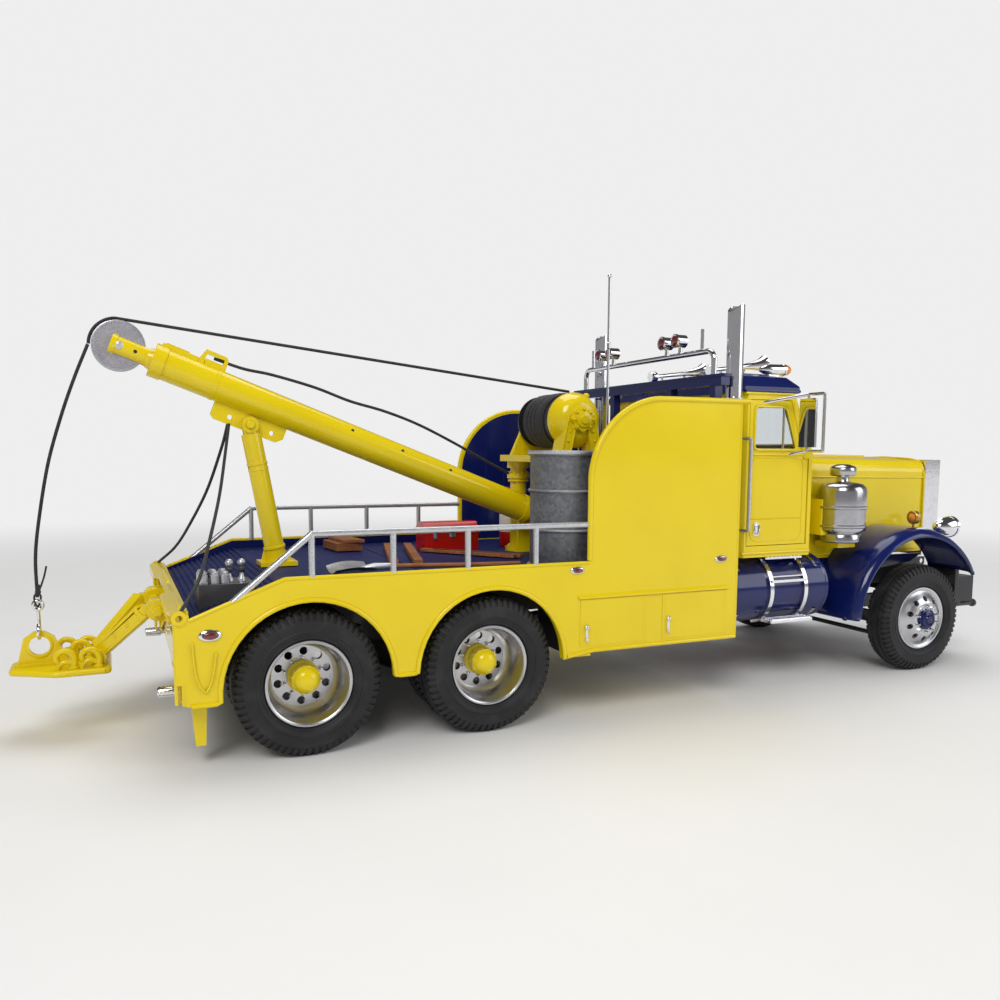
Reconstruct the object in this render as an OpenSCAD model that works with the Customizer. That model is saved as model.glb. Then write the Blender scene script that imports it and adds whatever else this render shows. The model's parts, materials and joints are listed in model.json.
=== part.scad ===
// Wrecker with a conventional cab, a single boom and a tow bar, as a built display model.
// Millimetres, +X forward, +Y left, +Z up. The origin is on the floor under the middle of the model.
// Below, X counts from the rearmost axle; on_truck() moves everything to the origin.

/* [Chassis] */
// Outside diameter of a tyre
tyre_d = 42; // [38:0.5:46]
// Width of one tyre
tyre_w = 11.4; // [9:0.1:13]
// Outside diameter of a wheel rim
rim_d = 24; // [20:0.5:26]
// Distance between the two driven axles
tandem_gap = 55.4; // [52:0.2:70]
// Rearmost axle to front axle
wheelbase = 244.6; // [240:0.2:270]
// Centre of an outer twin tyre from the side of the bed
tyre_inset = 7.1; // [6:0.1:12]
// Spacing of the two tyres of a twin wheel
twin_gap = 13.7; // [13.2:0.1:15]
// Half of the front track
front_tyre_y = 45.3; // [42:0.1:50]
// Outside half width of the two frame rails
frame_half = 17.3; // [14:0.1:20]
// Height of a frame rail
rail_h = 10; // [7:0.5:12]
// Underside of the frame rails above the floor
rail_z = 30; // [28:0.5:34]

/* [Bed] */
// Outside width of the bed
bed_w = 113; // [104:1:136]
// Top of the deck above the floor
deck_z = 48; // [44:0.5:58]
// Overhang of the bed behind the rearmost axle
tail_x = 33; // [28:0.5:40]
// Thickness of the bed's side and tail plates
skin = 1.2; // [0.8:0.1:1.6]
// Front edge of the bed from the rearmost axle
bed_front = 146.4; // [140:0.2:150]
// Length of the tall side panel
panel_len = 58.4; // [50:0.2:66]
// Top of the tall side panel above the floor
panel_top = 103.8; // [96:0.2:120]
// Corner radius of the tall side panel
panel_r = 27; // [15:0.5:34]
// Top of the hand rail above the floor
hand_rail_z = 63.6; // [58:0.2:72]

/* [Cab] */
// Outside width of the cab
cab_w = 92; // [84:1:100]
// Underside of the cab above the floor
cab_z = 48.6; // [48:0.1:60]
// Height of the cab body from its underside to the roof seam
cab_h = 59.2; // [50:0.2:70]
// Height of the roof cap
roof_h = 7.4; // [5:0.1:10]
// Back wall of the cab from the front edge of the bed
cab_gap = 9.8; // [9:0.1:16]
// Thickness of the cab's walls and doors
cab_wall = 1.5; // [1.2:0.1:2]
// Diameter of an exhaust stack
stack_d = 5.8; // [4:0.1:6.4]
// Top of the exhaust stacks above the floor
stack_top = 137.3; // [120:0.5:160]

/* [Boom] */
// Outside diameter of the boom
boom_d = 10; // [8:0.2:12]
// Rise of the boom above level, in degrees
boom_rise = 21; // [18:0.5:26]
// Diameter of the sheave at the tip of the boom
sheave_d = 15.4; // [12:0.2:18]
// Diameter of the rope wound on the winch drum
wound_d = 19; // [15:0.2:20]
// Diameter of the ropes
rope_d = 1; // [0.7:0.1:1.4]
// Diameter of the fuel tanks
tank_d = 24.6; // [20:0.2:25]

/* [Hidden] */

// Smoothness of round surfaces
$fn = 64;
// Running clearance of a pin or shaft, on the radius
run = 0.06;
// Gap between painted pieces that nearly touch
seam = 0.25;
// Standing gap of a piece that rests on another across a joint
rest_gap = 0.3;

// Overall length, from the back of the tow plate to the front of the bumper
plate_x = -78.2;
bumper_x = 285;
bumper_half = 41;
bumper_z = 24;
x_mid = (plate_x + bumper_x) / 2;

// Axles and wheels
axle_z = tyre_d / 2;
outer_y = bed_w / 2 - tyre_inset;
inner_y = outer_y - twin_gap;
twin_mid = (outer_y + inner_y) / 2;
rim_w = 8.4;
rim_wall = 0.9;
disc_r = 9.1;
spindle_r = 2.5;
hub_r = 4.6;
hub_len = 9.2;
front_axle_x = wheelbase;
king_y = front_tyre_y - 7.8;
king_r = 1.4;
arm_back = 12;
tie_z = axle_z - 7.4;
rail_top = rail_z + rail_h;
rail_wall = 1.2;
rail_flange = 4;
rail_front = 270;
rail_back = -tail_x + 4.4;
spring_y = frame_half - rail_flange / 2;

// Bed
bed_half = bed_w / 2;
in_half = bed_half - skin;
deck_t = 1.5;
side_top = deck_z + 3.5;
side_low = 18.8;
arch_r = tyre_d / 2 + 3.4;
skirt_z = axle_z + 0.6;
slope_x = -7;
tail_top = deck_z - 6.4;
panel_back = bed_front - panel_len;
panel_low = 23.2;
post_y = bed_half - skin / 2;

// Cab
cab_half = cab_w / 2;
cab_back = bed_front + cab_gap;
cab_front = cab_back + 46.8;
cab_top = cab_z + cab_h;
cowl_x = cab_back + 32;
cowl_z = cab_z + 38;
nose_half = 27.5;
screen_top_x = cab_back + 22.6;
door_back = cab_back + 2.6;
door_z0 = cab_z + 4.4;
door_z1 = cab_top - 2.8;
hinge_x = cab_back + 29.4;
hinge_y = cab_half - cab_wall / 2;
hinge_top = cowl_z - 2.6;
belt_z = cowl_z + 0.6;
pin_r = 0.42;
stack_x = cab_back - 4.6;
stack_y = 45.4;

// Hood
hood_back = cab_front + seam;
hood_front = 275;
hood_top = 85;
hood_wall = 1.2;
hood_end = 0.1;
shell_half = 22;
fender_r = 36;
fender_wall = 1.2;
fender_out = 50;
shell_front = 284;
tilt_x = 283;
tilt_z = 38.4;

// Boom
foot_x = 96.9;
foot_z = deck_z + 15.1;
boom_len = 142;
nose_d = 6;
nose_len = 154.8;
sheave_w = 2.2;
sheave_s = 152.4;
lug_s = 125.6;
lug_t = 2.2;
gusset_s = 108.5;
gusset_h = 8;
leg_d = 6.4;
sheave_x = foot_x - sheave_s * cos(boom_rise);
sheave_z = foot_z + sheave_s * sin(boom_rise);
leg_top_x = foot_x - gusset_s * cos(boom_rise) - gusset_h * sin(boom_rise);
leg_top_z = foot_z + gusset_s * sin(boom_rise) - gusset_h * cos(boom_rise);
leg_foot_x = 0.8;

// Winch
drum_x = 103.6;
drum_z = 97.6;
drum_y0 = -14;
drum_y1 = 9;
column_x = 95.4;
column_r = 3.1;

// Tow bar
pivot_x = -tail_x - 4.6;
pivot_z = 38;
boss_y = 12;
plate_z = 21;
plate_t = 1.4;
ear_x = -70.5;
ear_hole_r = 2.9;

// Moves a piece from its place behind the rearmost axle's zero to the origin
module on_truck() translate([-x_mid, 0, 0]) children();

// Draws a piece on both sides of the truck
module both() {
    children();
    mirror([0, 1, 0]) children();
}

// Box from its lowest corner to its highest one
module block(a, b) translate(a) cube(b - a);

// Round bar from one point to another
module rod(a, b, r, n = 24) {
    v = b - a;
    translate(a) rotate([0, acos(v[2] / norm(v)), atan2(v[1], v[0])])
        cylinder(r = r, h = norm(v), $fn = n);
}

// Chain of bars with round corners along a list of points
module pipe(pts, r) {
    for (i = [1 : len(pts) - 1]) rod(pts[i - 1], pts[i], r);
    for (i = [1 : len(pts) - 2]) translate(pts[i]) sphere(r = 1.02 * r, $fn = 24);
}

// Bar lying across the truck
module cross_bar(x, z, r, y0, y1, n = 64) translate([x, y0, z]) rotate([-90, 0, 0])
    cylinder(r = r, h = y1 - y0, $fn = n);

// Outline in X and Z, from one Y to another
module side_plate(y0, y1) translate([0, y1, 0]) rotate([90, 0, 0]) linear_extrude(y1 - y0) children();

// Turns an outline of radius and distance out from the middle into a wheel on the right side
module wheel_turn(x) translate([x, 0, axle_z]) rotate([90, 0, 0]) rotate_extrude() children();

// ---------------------------------------------------------------- chassis

module frame_rails() on_truck() color("#1c1f26") {
    difference() {
        union() {
            both() {
                block([rail_back, frame_half - rail_wall, rail_z], [rail_front, frame_half, rail_top]);
                for (z = [rail_z, rail_top - rail_wall])
                    block([rail_back, frame_half - rail_flange, z],
                        [rail_front, frame_half, z + rail_wall]);
                // Horn that carries the hood's hinge
                side_plate(frame_half - 2.4, frame_half - 1)
                    polygon([[rail_front - 12, rail_top - 4.4], [tilt_x - 3, rail_top - 4.4],
                        [tilt_x + 1.8, tilt_z - 1.4], [tilt_x + 1.8, tilt_z + 1.8],
                        [tilt_x - 3, tilt_z + 1.8], [rail_front - 12, rail_top]]);
            }
            for (x = [rail_back, tandem_gap / 2, 92, 150, rail_front - 3])
                block([x, -frame_half + rail_wall / 2, rail_z + 1], [x + 2, frame_half - rail_wall / 2, rail_top - 1]);
        }
        cross_bar(tilt_x, tilt_z, 1 + run, -frame_half, frame_half);
    }
}

// I-beam axle, lower in the middle, with an eye for the king pin at each end
module front_axle() on_truck() color("#1c1f26") difference() {
    union() {
        translate([front_axle_x - 2, 0, 0]) rotate([90, 0, 90]) linear_extrude(4)
            polygon([[-king_y, axle_z - 2], [-king_y, axle_z + 2], [-king_y + 8, axle_z + 1],
                [-26, axle_z - 1.2], [26, axle_z - 1.2], [king_y - 8, axle_z + 1], [king_y, axle_z + 2],
                [king_y, axle_z - 2], [king_y - 3, axle_z - 2], [king_y - 9, axle_z - 3.4], [24, axle_z - 5.6],
                [-24, axle_z - 5.6], [-king_y + 9, axle_z - 3.4], [-king_y + 3, axle_z - 2]]);
        both() translate([front_axle_x, king_y, axle_z - 2]) cylinder(r = 2.7, h = 4);
    }
    both() translate([front_axle_x, king_y, axle_z - 3]) cylinder(r = king_r + run, h = 6);
}

// Stack of leaves whose underside is at z, the longest one on top
module spring_pack(x, z, reach, leaves, leaf_t) {
    for (i = [0 : leaves - 1]) {
        half = reach * (0.2 + 0.8 * (i + 1) / leaves);
        block([x - half, spring_y - 1.5, z + i * leaf_t], [x + half, spring_y + 1.5, z + (i + 1) * leaf_t]);
    }
}

module leaf_springs() on_truck() color("#1c1f26") both() {
    // Front springs sit on the beam and hang from the rails
    spring_pack(front_axle_x, axle_z - 1.2, 26, 5, 1.08);
    for (s = [-1, 1]) block([front_axle_x + s * 25 - 1.4, spring_y - 1.5, axle_z + 4],
        [front_axle_x + s * 25 + 1.4, spring_y + 1.5, rail_z]);
    // Rear springs pivot on the trunnion between the driven axles
    spring_pack(tandem_gap / 2, axle_z + 3.3, tandem_gap / 2 + 4, 4, 1.1);
    block([tandem_gap / 2 - 3, spring_y - 1.5, axle_z + 7.6], [tandem_gap / 2 + 3, spring_y + 1.5, rail_z]);
}

// Housing, carrier and spindles of one driven axle
module drive_axle(x) {
    cross_bar(x, axle_z, 2.8, -twin_mid + 2, twin_mid - 2);
    cross_bar(x, axle_z, spindle_r, -outer_y, outer_y);
    translate([x, 0, axle_z]) rotate([0, 90, 0]) cylinder(r1 = 8.2, r2 = 5.2, h = 8);
    translate([x, 0, axle_z]) rotate([0, -90, 0]) cylinder(r1 = 8.2, r2 = 6, h = 4);
    both() block([x - 2, spring_y - 2.2, axle_z + 1], [x + 2, spring_y + 2.2, axle_z + 6.6]);
}

module drive_axles() on_truck() color("#1c1f26") {
    for (x = [0, tandem_gap]) drive_axle(x);
    rod([7, 0, axle_z], [tandem_gap - 3, 0, axle_z + 1], 1.6);
    rod([tandem_gap + 7, 0, axle_z], [gearbox_x - 0.2, 0, axle_z + 9], 1.8);
}

gearbox_x = 165;

// Engine block with its gearbox behind
module engine() on_truck() color("#8a1f1a") {
    block([cab_front + 6, -11, rail_z + 2], [262, 11, 67]);
    block([gearbox_x, -8, rail_z - 3], [cab_front + 6, 8, cab_z - 3]);
    // Engine mounts on the crossmember and the rails
    both() block([cab_front + 12, 10.5, rail_z + 3], [cab_front + 18, frame_half - rail_wall, rail_z + 6]);
}

tank_x0 = cab_back - 3;
tank_x1 = cab_front - 1;
tank_y = frame_half + seam + 2 + tank_d / 2;
tank_z = cab_z - 1.2 - tank_d / 2;

module fuel_tanks() on_truck() color("#16206e") both() {
    translate([tank_x0, tank_y, tank_z]) rotate([0, 90, 0]) {
        translate([0, 0, 2]) cylinder(d = tank_d, h = tank_x1 - tank_x0 - 4);
        cylinder(d1 = tank_d - 4, d2 = tank_d, h = 2);
        translate([0, 0, tank_x1 - tank_x0 - 2]) cylinder(d1 = tank_d, d2 = tank_d - 4, h = 2);
    }
    for (x = [tank_x0 + 9, tank_x1 - 12])
        block([x, frame_half, tank_z - 4], [x + 3, tank_y - tank_d / 2 + 3, tank_z + 4]);
}

step_x0 = tank_x0 + 18.3;
step_x1 = step_x0 + 18;

// Two bent straps with an upper plate and a lower tread, wrapped on the outside of a tank
module tank_steps() on_truck() color("silver") both() {
    difference() {
        union() {
            for (x = [step_x0, step_x1 - 1.6]) translate([x, tank_y, tank_z]) rotate([0, 90, 0])
                rotate_extrude(angle = 152) translate([tank_d / 2 + 0.15, 0]) square([1.1, 1.6]);
            block([step_x0, tank_y - 1, tank_z + tank_d / 2 + 0.15],
                [step_x1, tank_y + 8.6, tank_z + tank_d / 2 + 0.95]);
            block([step_x0 - 1, tank_y + 7, tank_z - tank_d / 2 + 1.4],
                [step_x1 + 1, tank_y + 12.6, tank_z - tank_d / 2 + 3]);
        }
        translate([tank_x0, tank_y, tank_z]) rotate([0, 90, 0])
            cylinder(d = tank_d + 0.3, h = tank_x1 - tank_x0);
    }
}

// Channel bumper with its ends bent back, on the ends of the rails
module bumper() on_truck() color("#1c1f26") difference() {
    block([274, -bumper_half, bumper_z], [bumper_x, bumper_half, 34.8]);
    block([273, -bumper_half + 1.4, bumper_z + 1.4], [bumper_x - 1.4, bumper_half - 1.4, 33.4]);
    // The frame's horns reach in over the top flange
    both() block([273, frame_half - 2.8, 33], [tilt_x - 1, frame_half - 0.6, 36]);
}

// ---------------------------------------------------------------- cab

// Side view of the cab, inside it by t
function cab_side(t) = [[cab_back + t, cab_z + t], [cab_front - t, cab_z + t],
    [cab_front - t, cowl_z - 1.6 - t], [cowl_x - 0.7 * t, cowl_z - t],
    [screen_top_x - 1.1 * t, cab_top], [cab_back + t, cab_top]];

// Plan of the cab, inside it by t
function cab_plan(t) = [[cab_back + t, -cab_half + 3], [cab_back + 1.5 + t / 2, -cab_half + t],
    [cowl_x, -cab_half + t], [cab_front - t, -nose_half + t], [cab_front - t, nose_half - t],
    [cowl_x, cab_half - t], [cab_back + 1.5 + t / 2, cab_half - t], [cab_back + t, cab_half - 3]];

module cab_body(t) intersection() {
    side_plate(-cab_half, cab_half) polygon(cab_side(t));
    translate([0, 0, cab_z]) linear_extrude(cab_h + 1) polygon(cab_plan(t));
}

// Outline of a door in X and Z, larger by g all round
function door_outline(g) = [[door_back - g, door_z0 - g], [hinge_x + (g > 0 ? cab_wall / 2 + g : 0), door_z0 - g],
    [hinge_x + (g > 0 ? cab_wall / 2 + g : 0), hinge_top + g], [hinge_x - 1.8 + g, hinge_top + g],
    [hinge_x - 1.8 - 6.6 + g, door_z1 + g], [door_back - g, door_z1 + g]];

// Outline of a door's window in X and Z
function door_window() = [[door_back + 2, belt_z], [hinge_x - 5, belt_z],
    [hinge_x - 10.4, door_z1 - 2], [door_back + 2, door_z1 - 2]];

module cab_shell() on_truck() color("#f4d800") difference() {
    cab_body(0);
    difference() {
        cab_body(cab_wall);
        // Cowl shelf that carries the dashboard
        block([cowl_x - 1, -cab_half, cowl_z - 4], [cab_front, cab_half, cowl_z - 3]);
    }
    both() side_plate(cab_half - 2 * cab_wall, cab_half + 1) polygon(door_outline(seam));
    both() translate([hinge_x, hinge_y, door_z0 - 2]) cylinder(r = pin_r + run, h = hinge_top - door_z0 + 4, $fn = 24);
    // Rear window
    block([cab_back - 1, -17, belt_z + 2], [cab_back + 3, 17, cab_top - 6]);
    // Two panes of the windscreen
    both() translate([(cowl_x + screen_top_x) / 2, 0, (cowl_z + cab_top) / 2])
        rotate([0, -atan((cowl_x - screen_top_x) / (cab_top - cowl_z)), 0])
            block([-4, 1.2, -8], [4, cab_half - 6.5, 7.4]);
}

// Cap with rolled edges on the top of the cab
module cab_roof() on_truck() color("#16206e") difference() {
    intersection() {
        side_plate(-cab_half, cab_half) polygon([[cab_back - 0.6, cab_top], [screen_top_x + 1.8, cab_top],
            [screen_top_x + 2.2, cab_top + 2.6], [screen_top_x - 1.6, cab_top + roof_h - 1.4],
            [screen_top_x - 8, cab_top + roof_h], [cab_back + 5, cab_top + roof_h],
            [cab_back + 0.8, cab_top + roof_h - 2.4]]);
        translate([cab_back - 2, 0, 0]) rotate([90, 0, 90]) linear_extrude(40)
            polygon([[-cab_half, cab_top], [-cab_half, cab_top + 2], [-cab_half + 3.4, cab_top + roof_h - 1.6],
                [-cab_half + 10, cab_top + roof_h], [cab_half - 10, cab_top + roof_h],
                [cab_half - 3.4, cab_top + roof_h - 1.6], [cab_half, cab_top + 2], [cab_half, cab_top]]);
    }
    block([cab_back + 2, -cab_half + 4, cab_top - 1], [screen_top_x - 3, cab_half - 4, cab_top + roof_h - 2.6]);
}

// Tub with floor, two seats, dashboard and steering wheel
module cab_interior() on_truck() color("#3a3a3e") {
    floor_z = cab_z + cab_wall;
    for (y = [-19, 19]) translate([0, y, 0]) {
        block([cab_back + 5, -9, floor_z], [cab_back + 18, 9, floor_z + 13]);
        block([cab_back + 2.5, -9, floor_z + 11], [cab_back + 6, 9, floor_z + 34]);
    }
    block([cab_back + 5, -12, floor_z], [cab_back + 18, 12, floor_z + 2]);
    block([cowl_x - 4.5, -cab_half + 7, cowl_z - 12], [cowl_x + 0.5, cab_half - 7, cowl_z - 4]);
    rod([cowl_x - 4, 19, cowl_z - 8], [cowl_x - 8.6, 19, cowl_z - 5], 0.8);
    translate([cowl_x - 9, 19, cowl_z - 4.8]) rotate([0, -56, 0]) {
        rotate_extrude() translate([6.8, 0]) circle(r = 0.6, $fn = 24);
        for (a = [0, 120, 240]) rotate([0, 0, a]) rotate([0, 90, 0]) cylinder(r = 0.5, h = 6.8, $fn = 24);
        cylinder(r = 1.4, h = 1.2, center = true);
    }
}

// Clear panes behind the windscreen and rear window openings
module cab_glass() on_truck() color("#9fb4bd") {
    tilt = atan((cowl_x - screen_top_x) / (cab_top - cowl_z));
    both() translate([(cowl_x + screen_top_x) / 2, 0, (cowl_z + cab_top) / 2]) rotate([0, -tilt, 0])
        block([-0.9, 1.35, -7.85], [-0.4, cab_half - 6.65, 7.25]);
    block([cab_back + cab_wall - 0.5, -16.8, belt_z + 2.2], [cab_back + cab_wall, 16.8, cab_top - 6.2]);
}

cleaner_x = cab_front + 10.2;
cleaner_y = nose_half + 9;
cleaner_r = 9.2;

// Y of the hood's flat side at x
function hood_side(x) = nose_half - (x - hood_back - hood_end) * (nose_half - shell_half)
    / (hood_front - hood_back - hood_end);

// Round air cleaners on brackets from the hood's sides, each with a rain cap
module air_cleaners() on_truck() color("silver") both() {
    back = hood_back + 0.4;
    front = back + 2.6;
    translate([cleaner_x, cleaner_y, 0]) rotate_extrude()
        polygon([[0, 51.5], [cleaner_r - 1.6, 51.5], [cleaner_r - 1.6, 55.6], [cleaner_r, 55.6],
            [cleaner_r, 73.4], [cleaner_r - 0.8, 74.6],
            [2, 75.4], [2, 77.6], [4.4, 78.4], [4.6, 80.6], [3.2, 81.8], [0, 82]]);
    translate([0, 0, 55]) linear_extrude(12) polygon([[back, hood_side(back)], [front, hood_side(front)],
        [front, cleaner_y - 0.5], [back, cleaner_y - 0.5]]);
    block([front - 1, cleaner_y - 6, 58], [cleaner_x - 6, cleaner_y - 1, 64]);
}

// Stacks with slash-cut tops behind the cab, on brackets from the frame
module exhaust_stacks() on_truck() color("silver") both() {
    difference() {
        translate([stack_x, stack_y, rail_top + 4]) cylinder(d = stack_d, h = stack_top - rail_top - 4);
        translate([stack_x, stack_y, rail_top + 5]) cylinder(d = stack_d - 1, h = stack_top - rail_top);
        translate([stack_x, stack_y, stack_top]) rotate([0, -40, 0]) block([-12, -6, 0], [12, 6, 12]);
    }
    block([stack_x - 2.4, frame_half, rail_top - 6], [tank_x0 - 0.2, stack_y - 1, rail_top - 3]);
    block([stack_x - 2.4, stack_y - 4, rail_top - 6], [tank_x0 - 0.2, stack_y + 1, rail_top + 4]);
}

// ---------------------------------------------------------------- behind the cab

rack_x = 143.4;
rack_z = 112.4;

// Cross beam on four posts between the tall panels and the cab
module headache_rack() on_truck() color("#16206e") {
    block([rack_x - 1.8, -51, rack_z - 3], [rack_x + 1.8, 51, rack_z]);
    both() for (y = [20, 46]) block([rack_x - 1.5, y - 1.5, deck_z], [rack_x + 1.5, y + 1.5, rack_z - 3]);
    block([rack_x - 0.8, -46, deck_z + 10], [rack_x + 0.8, 46, deck_z + 40]);
}

bar_z = 121.6;
bar_half = 44.5;
bar_bend = 3.5;
lamp_ys = [-24.5, -16, 22, 30.5];

// Bent tube over the rack with round lamps that face back
module light_bar() on_truck() color("silver") {
    cross_bar(rack_x, bar_z, 1, -bar_half + bar_bend, bar_half - bar_bend, 24);
    both() {
        translate([rack_x, bar_half - bar_bend, bar_z - bar_bend]) rotate([90, 0, 90])
            rotate_extrude(angle = 90) translate([bar_bend, 0]) circle(r = 1, $fn = 24);
        translate([rack_x, bar_half, rack_z]) cylinder(r = 1, h = bar_z - bar_bend - rack_z, $fn = 24);
    }
    for (y = lamp_ys) translate([rack_x, y, bar_z + 0.6]) {
        cylinder(r = 0.5, h = 3.4, $fn = 24);
        translate([-2.4, 0, 4.6]) rotate([0, 90, 0]) cylinder(r = 2.3, h = 4.2);
    }
    for (y = [-37.5, 38.5]) translate([rack_x, y, bar_z + 0.5]) cylinder(r = 0.6, h = 7.5, $fn = 24);
}

antenna_x = 106;
antenna_y = -36;

// Whip with a stepped base on a bracket of the right tall panel
module antenna() on_truck() color("silver") translate([antenna_x, antenna_y, 0]) {
    translate([0, 0, 84]) cylinder(r = 1.3, h = 5);
    translate([0, 0, 89]) cylinder(r = 0.8, h = 3);
    translate([0, 0, 92]) cylinder(r = 0.45, h = 53.5);
    block([-1.5, -in_half - antenna_y, 82.6], [1.5, 2, 84]);
}

// ---------------------------------------------------------------- bed

// Flat deck, falling to the tail behind the last posts, on two sills
module bed_deck() on_truck() color("#16206e") {
    side_plate(-in_half, in_half)
        polygon([[bed_front, deck_z], [bed_front, deck_z - deck_t], [slope_x, deck_z - deck_t],
            [-tail_x + skin, tail_top - deck_t - 1], [-tail_x + skin, tail_top - 1], [slope_x, deck_z]]);
    both() block([slope_x, frame_half - rail_flange, rail_top], [bed_front, frame_half, deck_z - deck_t / 2]);
}

// Outline of a bed side in X and Z: low skirt with two wheel arches and the tall panel
module bed_side_outline() difference() {
    union() {
        polygon([[-tail_x + skin, side_low], [-arch_r + 2, side_low], [-arch_r + 2, skirt_z],
            [panel_back + 1, skirt_z], [panel_back + 1, side_top], [slope_x, side_top], [-tail_x + skin, tail_top]]);
        translate([panel_back, panel_low]) square([panel_len, panel_top - panel_r - panel_low]);
        translate([panel_back + panel_r, panel_top - panel_r - 1]) square([panel_len - panel_r, panel_r + 1]);
        translate([panel_back + panel_r, panel_top - panel_r]) circle(r = panel_r);
    }
    for (x = [0, tandem_gap]) translate([x, axle_z]) circle(r = arch_r);
}

locker_in = 20;

// Bed side with the locker behind the tall panel
module bed_side_parts() {
    side_plate(in_half, bed_half) bed_side_outline();
    // Flange inside each wheel arch
    for (x = [0, tandem_gap]) translate([x, in_half + skin / 2, axle_z]) rotate([90, 0, 0])
        rotate_extrude(angle = 180) translate([arch_r, 0]) square([0.9, 3]);
    // Locker under the deck
    difference() {
        block([panel_back + 2, in_half - locker_in, panel_low], [bed_front - 1, in_half, deck_z - deck_t - 0.2]);
        block([panel_back + 3.2, in_half - locker_in + 1.2, panel_low + 1.2],
            [bed_front - 2.2, in_half + 0.1, deck_z - deck_t - 1.4]);
    }
}

module bed_side_left() on_truck() color("#f4d800") bed_side_parts();
module bed_side_right() on_truck() color("#f4d800") mirror([0, 1, 0]) bed_side_parts();

leg_y = bed_half - 9;

// Tail plate with the eye posts, the tow bar's bosses and the two stabiliser legs
module tail_plate() on_truck() color("#f4d800") difference() {
    union() {
        block([-tail_x, -bed_half, side_low], [-tail_x + skin, bed_half, tail_top + 1.6]);
        both() {
            // Posts with an eye at each corner
            block([-tail_x - 2.4, post_y - 0.7, side_low + 6], [-tail_x, post_y + 0.6, tail_top + 1]);
            translate([-tail_x - 1.2, post_y + 0.6, tail_top + 1]) rotate([90, 0, 0]) cylinder(r = 1.8, h = 1.3);
            // Tapered leg
            side_plate(leg_y - 3, leg_y + 3) polygon([[-tail_x + skin, 24], [-tail_x + 6, 24],
                [-tail_x + 5.2, 6], [-tail_x + 2.6, 6]]);
            // Clevis cheeks of the tow bar
            for (y = [boss_y - 4.4, boss_y + 2.4]) translate([0, y, 0]) {
                side_plate(0, 2) polygon([[-tail_x, pivot_z - 3.4], [pivot_x, pivot_z - 3], [pivot_x, pivot_z + 3],
                    [-tail_x, pivot_z + 3.4]]);
                cross_bar(pivot_x, pivot_z, 3, 0, 2);
            }
            cross_bar(pivot_x, pivot_z, 1.2, boss_y - 4.4, boss_y + 4.4);
        }
    }
    both() translate([-tail_x - 1.2, post_y + 2, tail_top + 1]) rotate([90, 0, 0]) cylinder(r = 0.8, h = 4);
}

// Hand rails along the bed with a slanted foot, and the grab rails behind the cab doors
module hand_rails() on_truck() color("silver") both() {
    rail_r = 0.9;
    // The slanted foot stands on the falling top edge of the bed side
    difference() {
        rod([slope_x - 17, post_y, deck_z - 4.8], [0.7, post_y, hand_rail_z], rail_r);
        side_plate(in_half - 2, bed_half + 2) polygon([[-tail_x + skin, tail_top], [slope_x, side_top],
            [slope_x, side_low], [-tail_x + skin, side_low]]);
    }
    translate([0.7, post_y, hand_rail_z]) sphere(r = 1.02 * rail_r, $fn = 24);
    rod([0.7, post_y, hand_rail_z], [panel_back - seam, post_y, hand_rail_z], rail_r);
    for (x = [0.7, 24, 47, 69.5]) rod([x, post_y, side_top], [x, post_y, hand_rail_z], rail_r);
    grab_x = cab_back + 1.2;
    grab_y = cab_half + 2.6;
    grab_r = 0.55;
    pipe([[grab_x, grab_y - 0.9, 91.4], [grab_x, grab_y, 91], [grab_x, grab_y, 59], [grab_x, grab_y - 0.9, 58.6]], grab_r);
    for (z = [91.4, 58.6]) {
        translate([grab_x, grab_y - 0.9, z]) sphere(r = 1.02 * grab_r, $fn = 24);
        difference() {
            rod([grab_x, cab_half - 3, z], [grab_x, grab_y - 0.9, z], grab_r);
            translate([0, 0, cab_z]) linear_extrude(cab_h) polygon(cab_plan(0));
        }
    }
}

// ---------------------------------------------------------------- winch and deck gear

// Column and stand that carry the winch, with the boom's foot bracket
module winch_frame() on_truck() color("#f4d800") difference() {
    union() {
        for (y = [12, -15]) translate([column_x, y, deck_z]) {
            cylinder(r = column_r, h = 34.6);
            cylinder(r = 5, h = 1.6);
            translate([0, 0, 28]) cylinder(r = 4.4, h = 2);
            translate([0, 0, 32]) cylinder(r = 4.4, h = 2.6);
        }
        block([column_x - 6, -20, deck_z + 34.6], [drum_x + 13, 16, deck_z + 37]);
        // Bearing plate at the far end of the drum
        side_plate(drum_y1 + 2, drum_y1 + 4) polygon([[drum_x - 12, deck_z + 36], [drum_x + 9, deck_z + 36],
            [drum_x + 4, drum_z + 4], [drum_x - 4, drum_z + 4]]);
        // Boom foot bracket
        for (y = [-boom_d / 2 - 2.6, boom_d / 2 + 0.6]) translate([0, y, 0]) {
            side_plate(0, 2) polygon([[foot_x - 5, deck_z], [foot_x + 8, deck_z], [foot_x + 3.4, foot_z],
                [foot_x - 3.4, foot_z]]);
            cross_bar(foot_x, foot_z, 3.4, 0, 2);
        }
        cross_bar(foot_x, foot_z, 1.5, -boom_d / 2 - 2.6, boom_d / 2 + 2.6);
    }
    cross_bar(drum_x, drum_z, 1.8 + run, drum_y1 + 1, drum_y1 + 5);
}

// Domed gear case with its round end cover and ribbed bracket
module winch_gearbox() on_truck() color("#f4d800") difference() {
    union() {
        translate([drum_x, drum_y0 - 1, drum_z]) rotate([90, 0, 0]) rotate_extrude()
            polygon([[0, 0], [9.6, 0], [9.6, 2.4], [8.6, 5], [6.4, 7], [4.6, 7.4], [4.6, 9.6], [0, 9.6]]);
        side_plate(drum_y0 - 7.6, drum_y0 - 3) polygon([[drum_x - 9, deck_z + 37], [drum_x - 4, drum_z + 4],
            [drum_x + 4, drum_z + 4], [drum_x + 9, deck_z + 37]]);
    }
    cross_bar(drum_x, drum_z, 1.8 + run, drum_y0 - 4, drum_y0);
}

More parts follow.
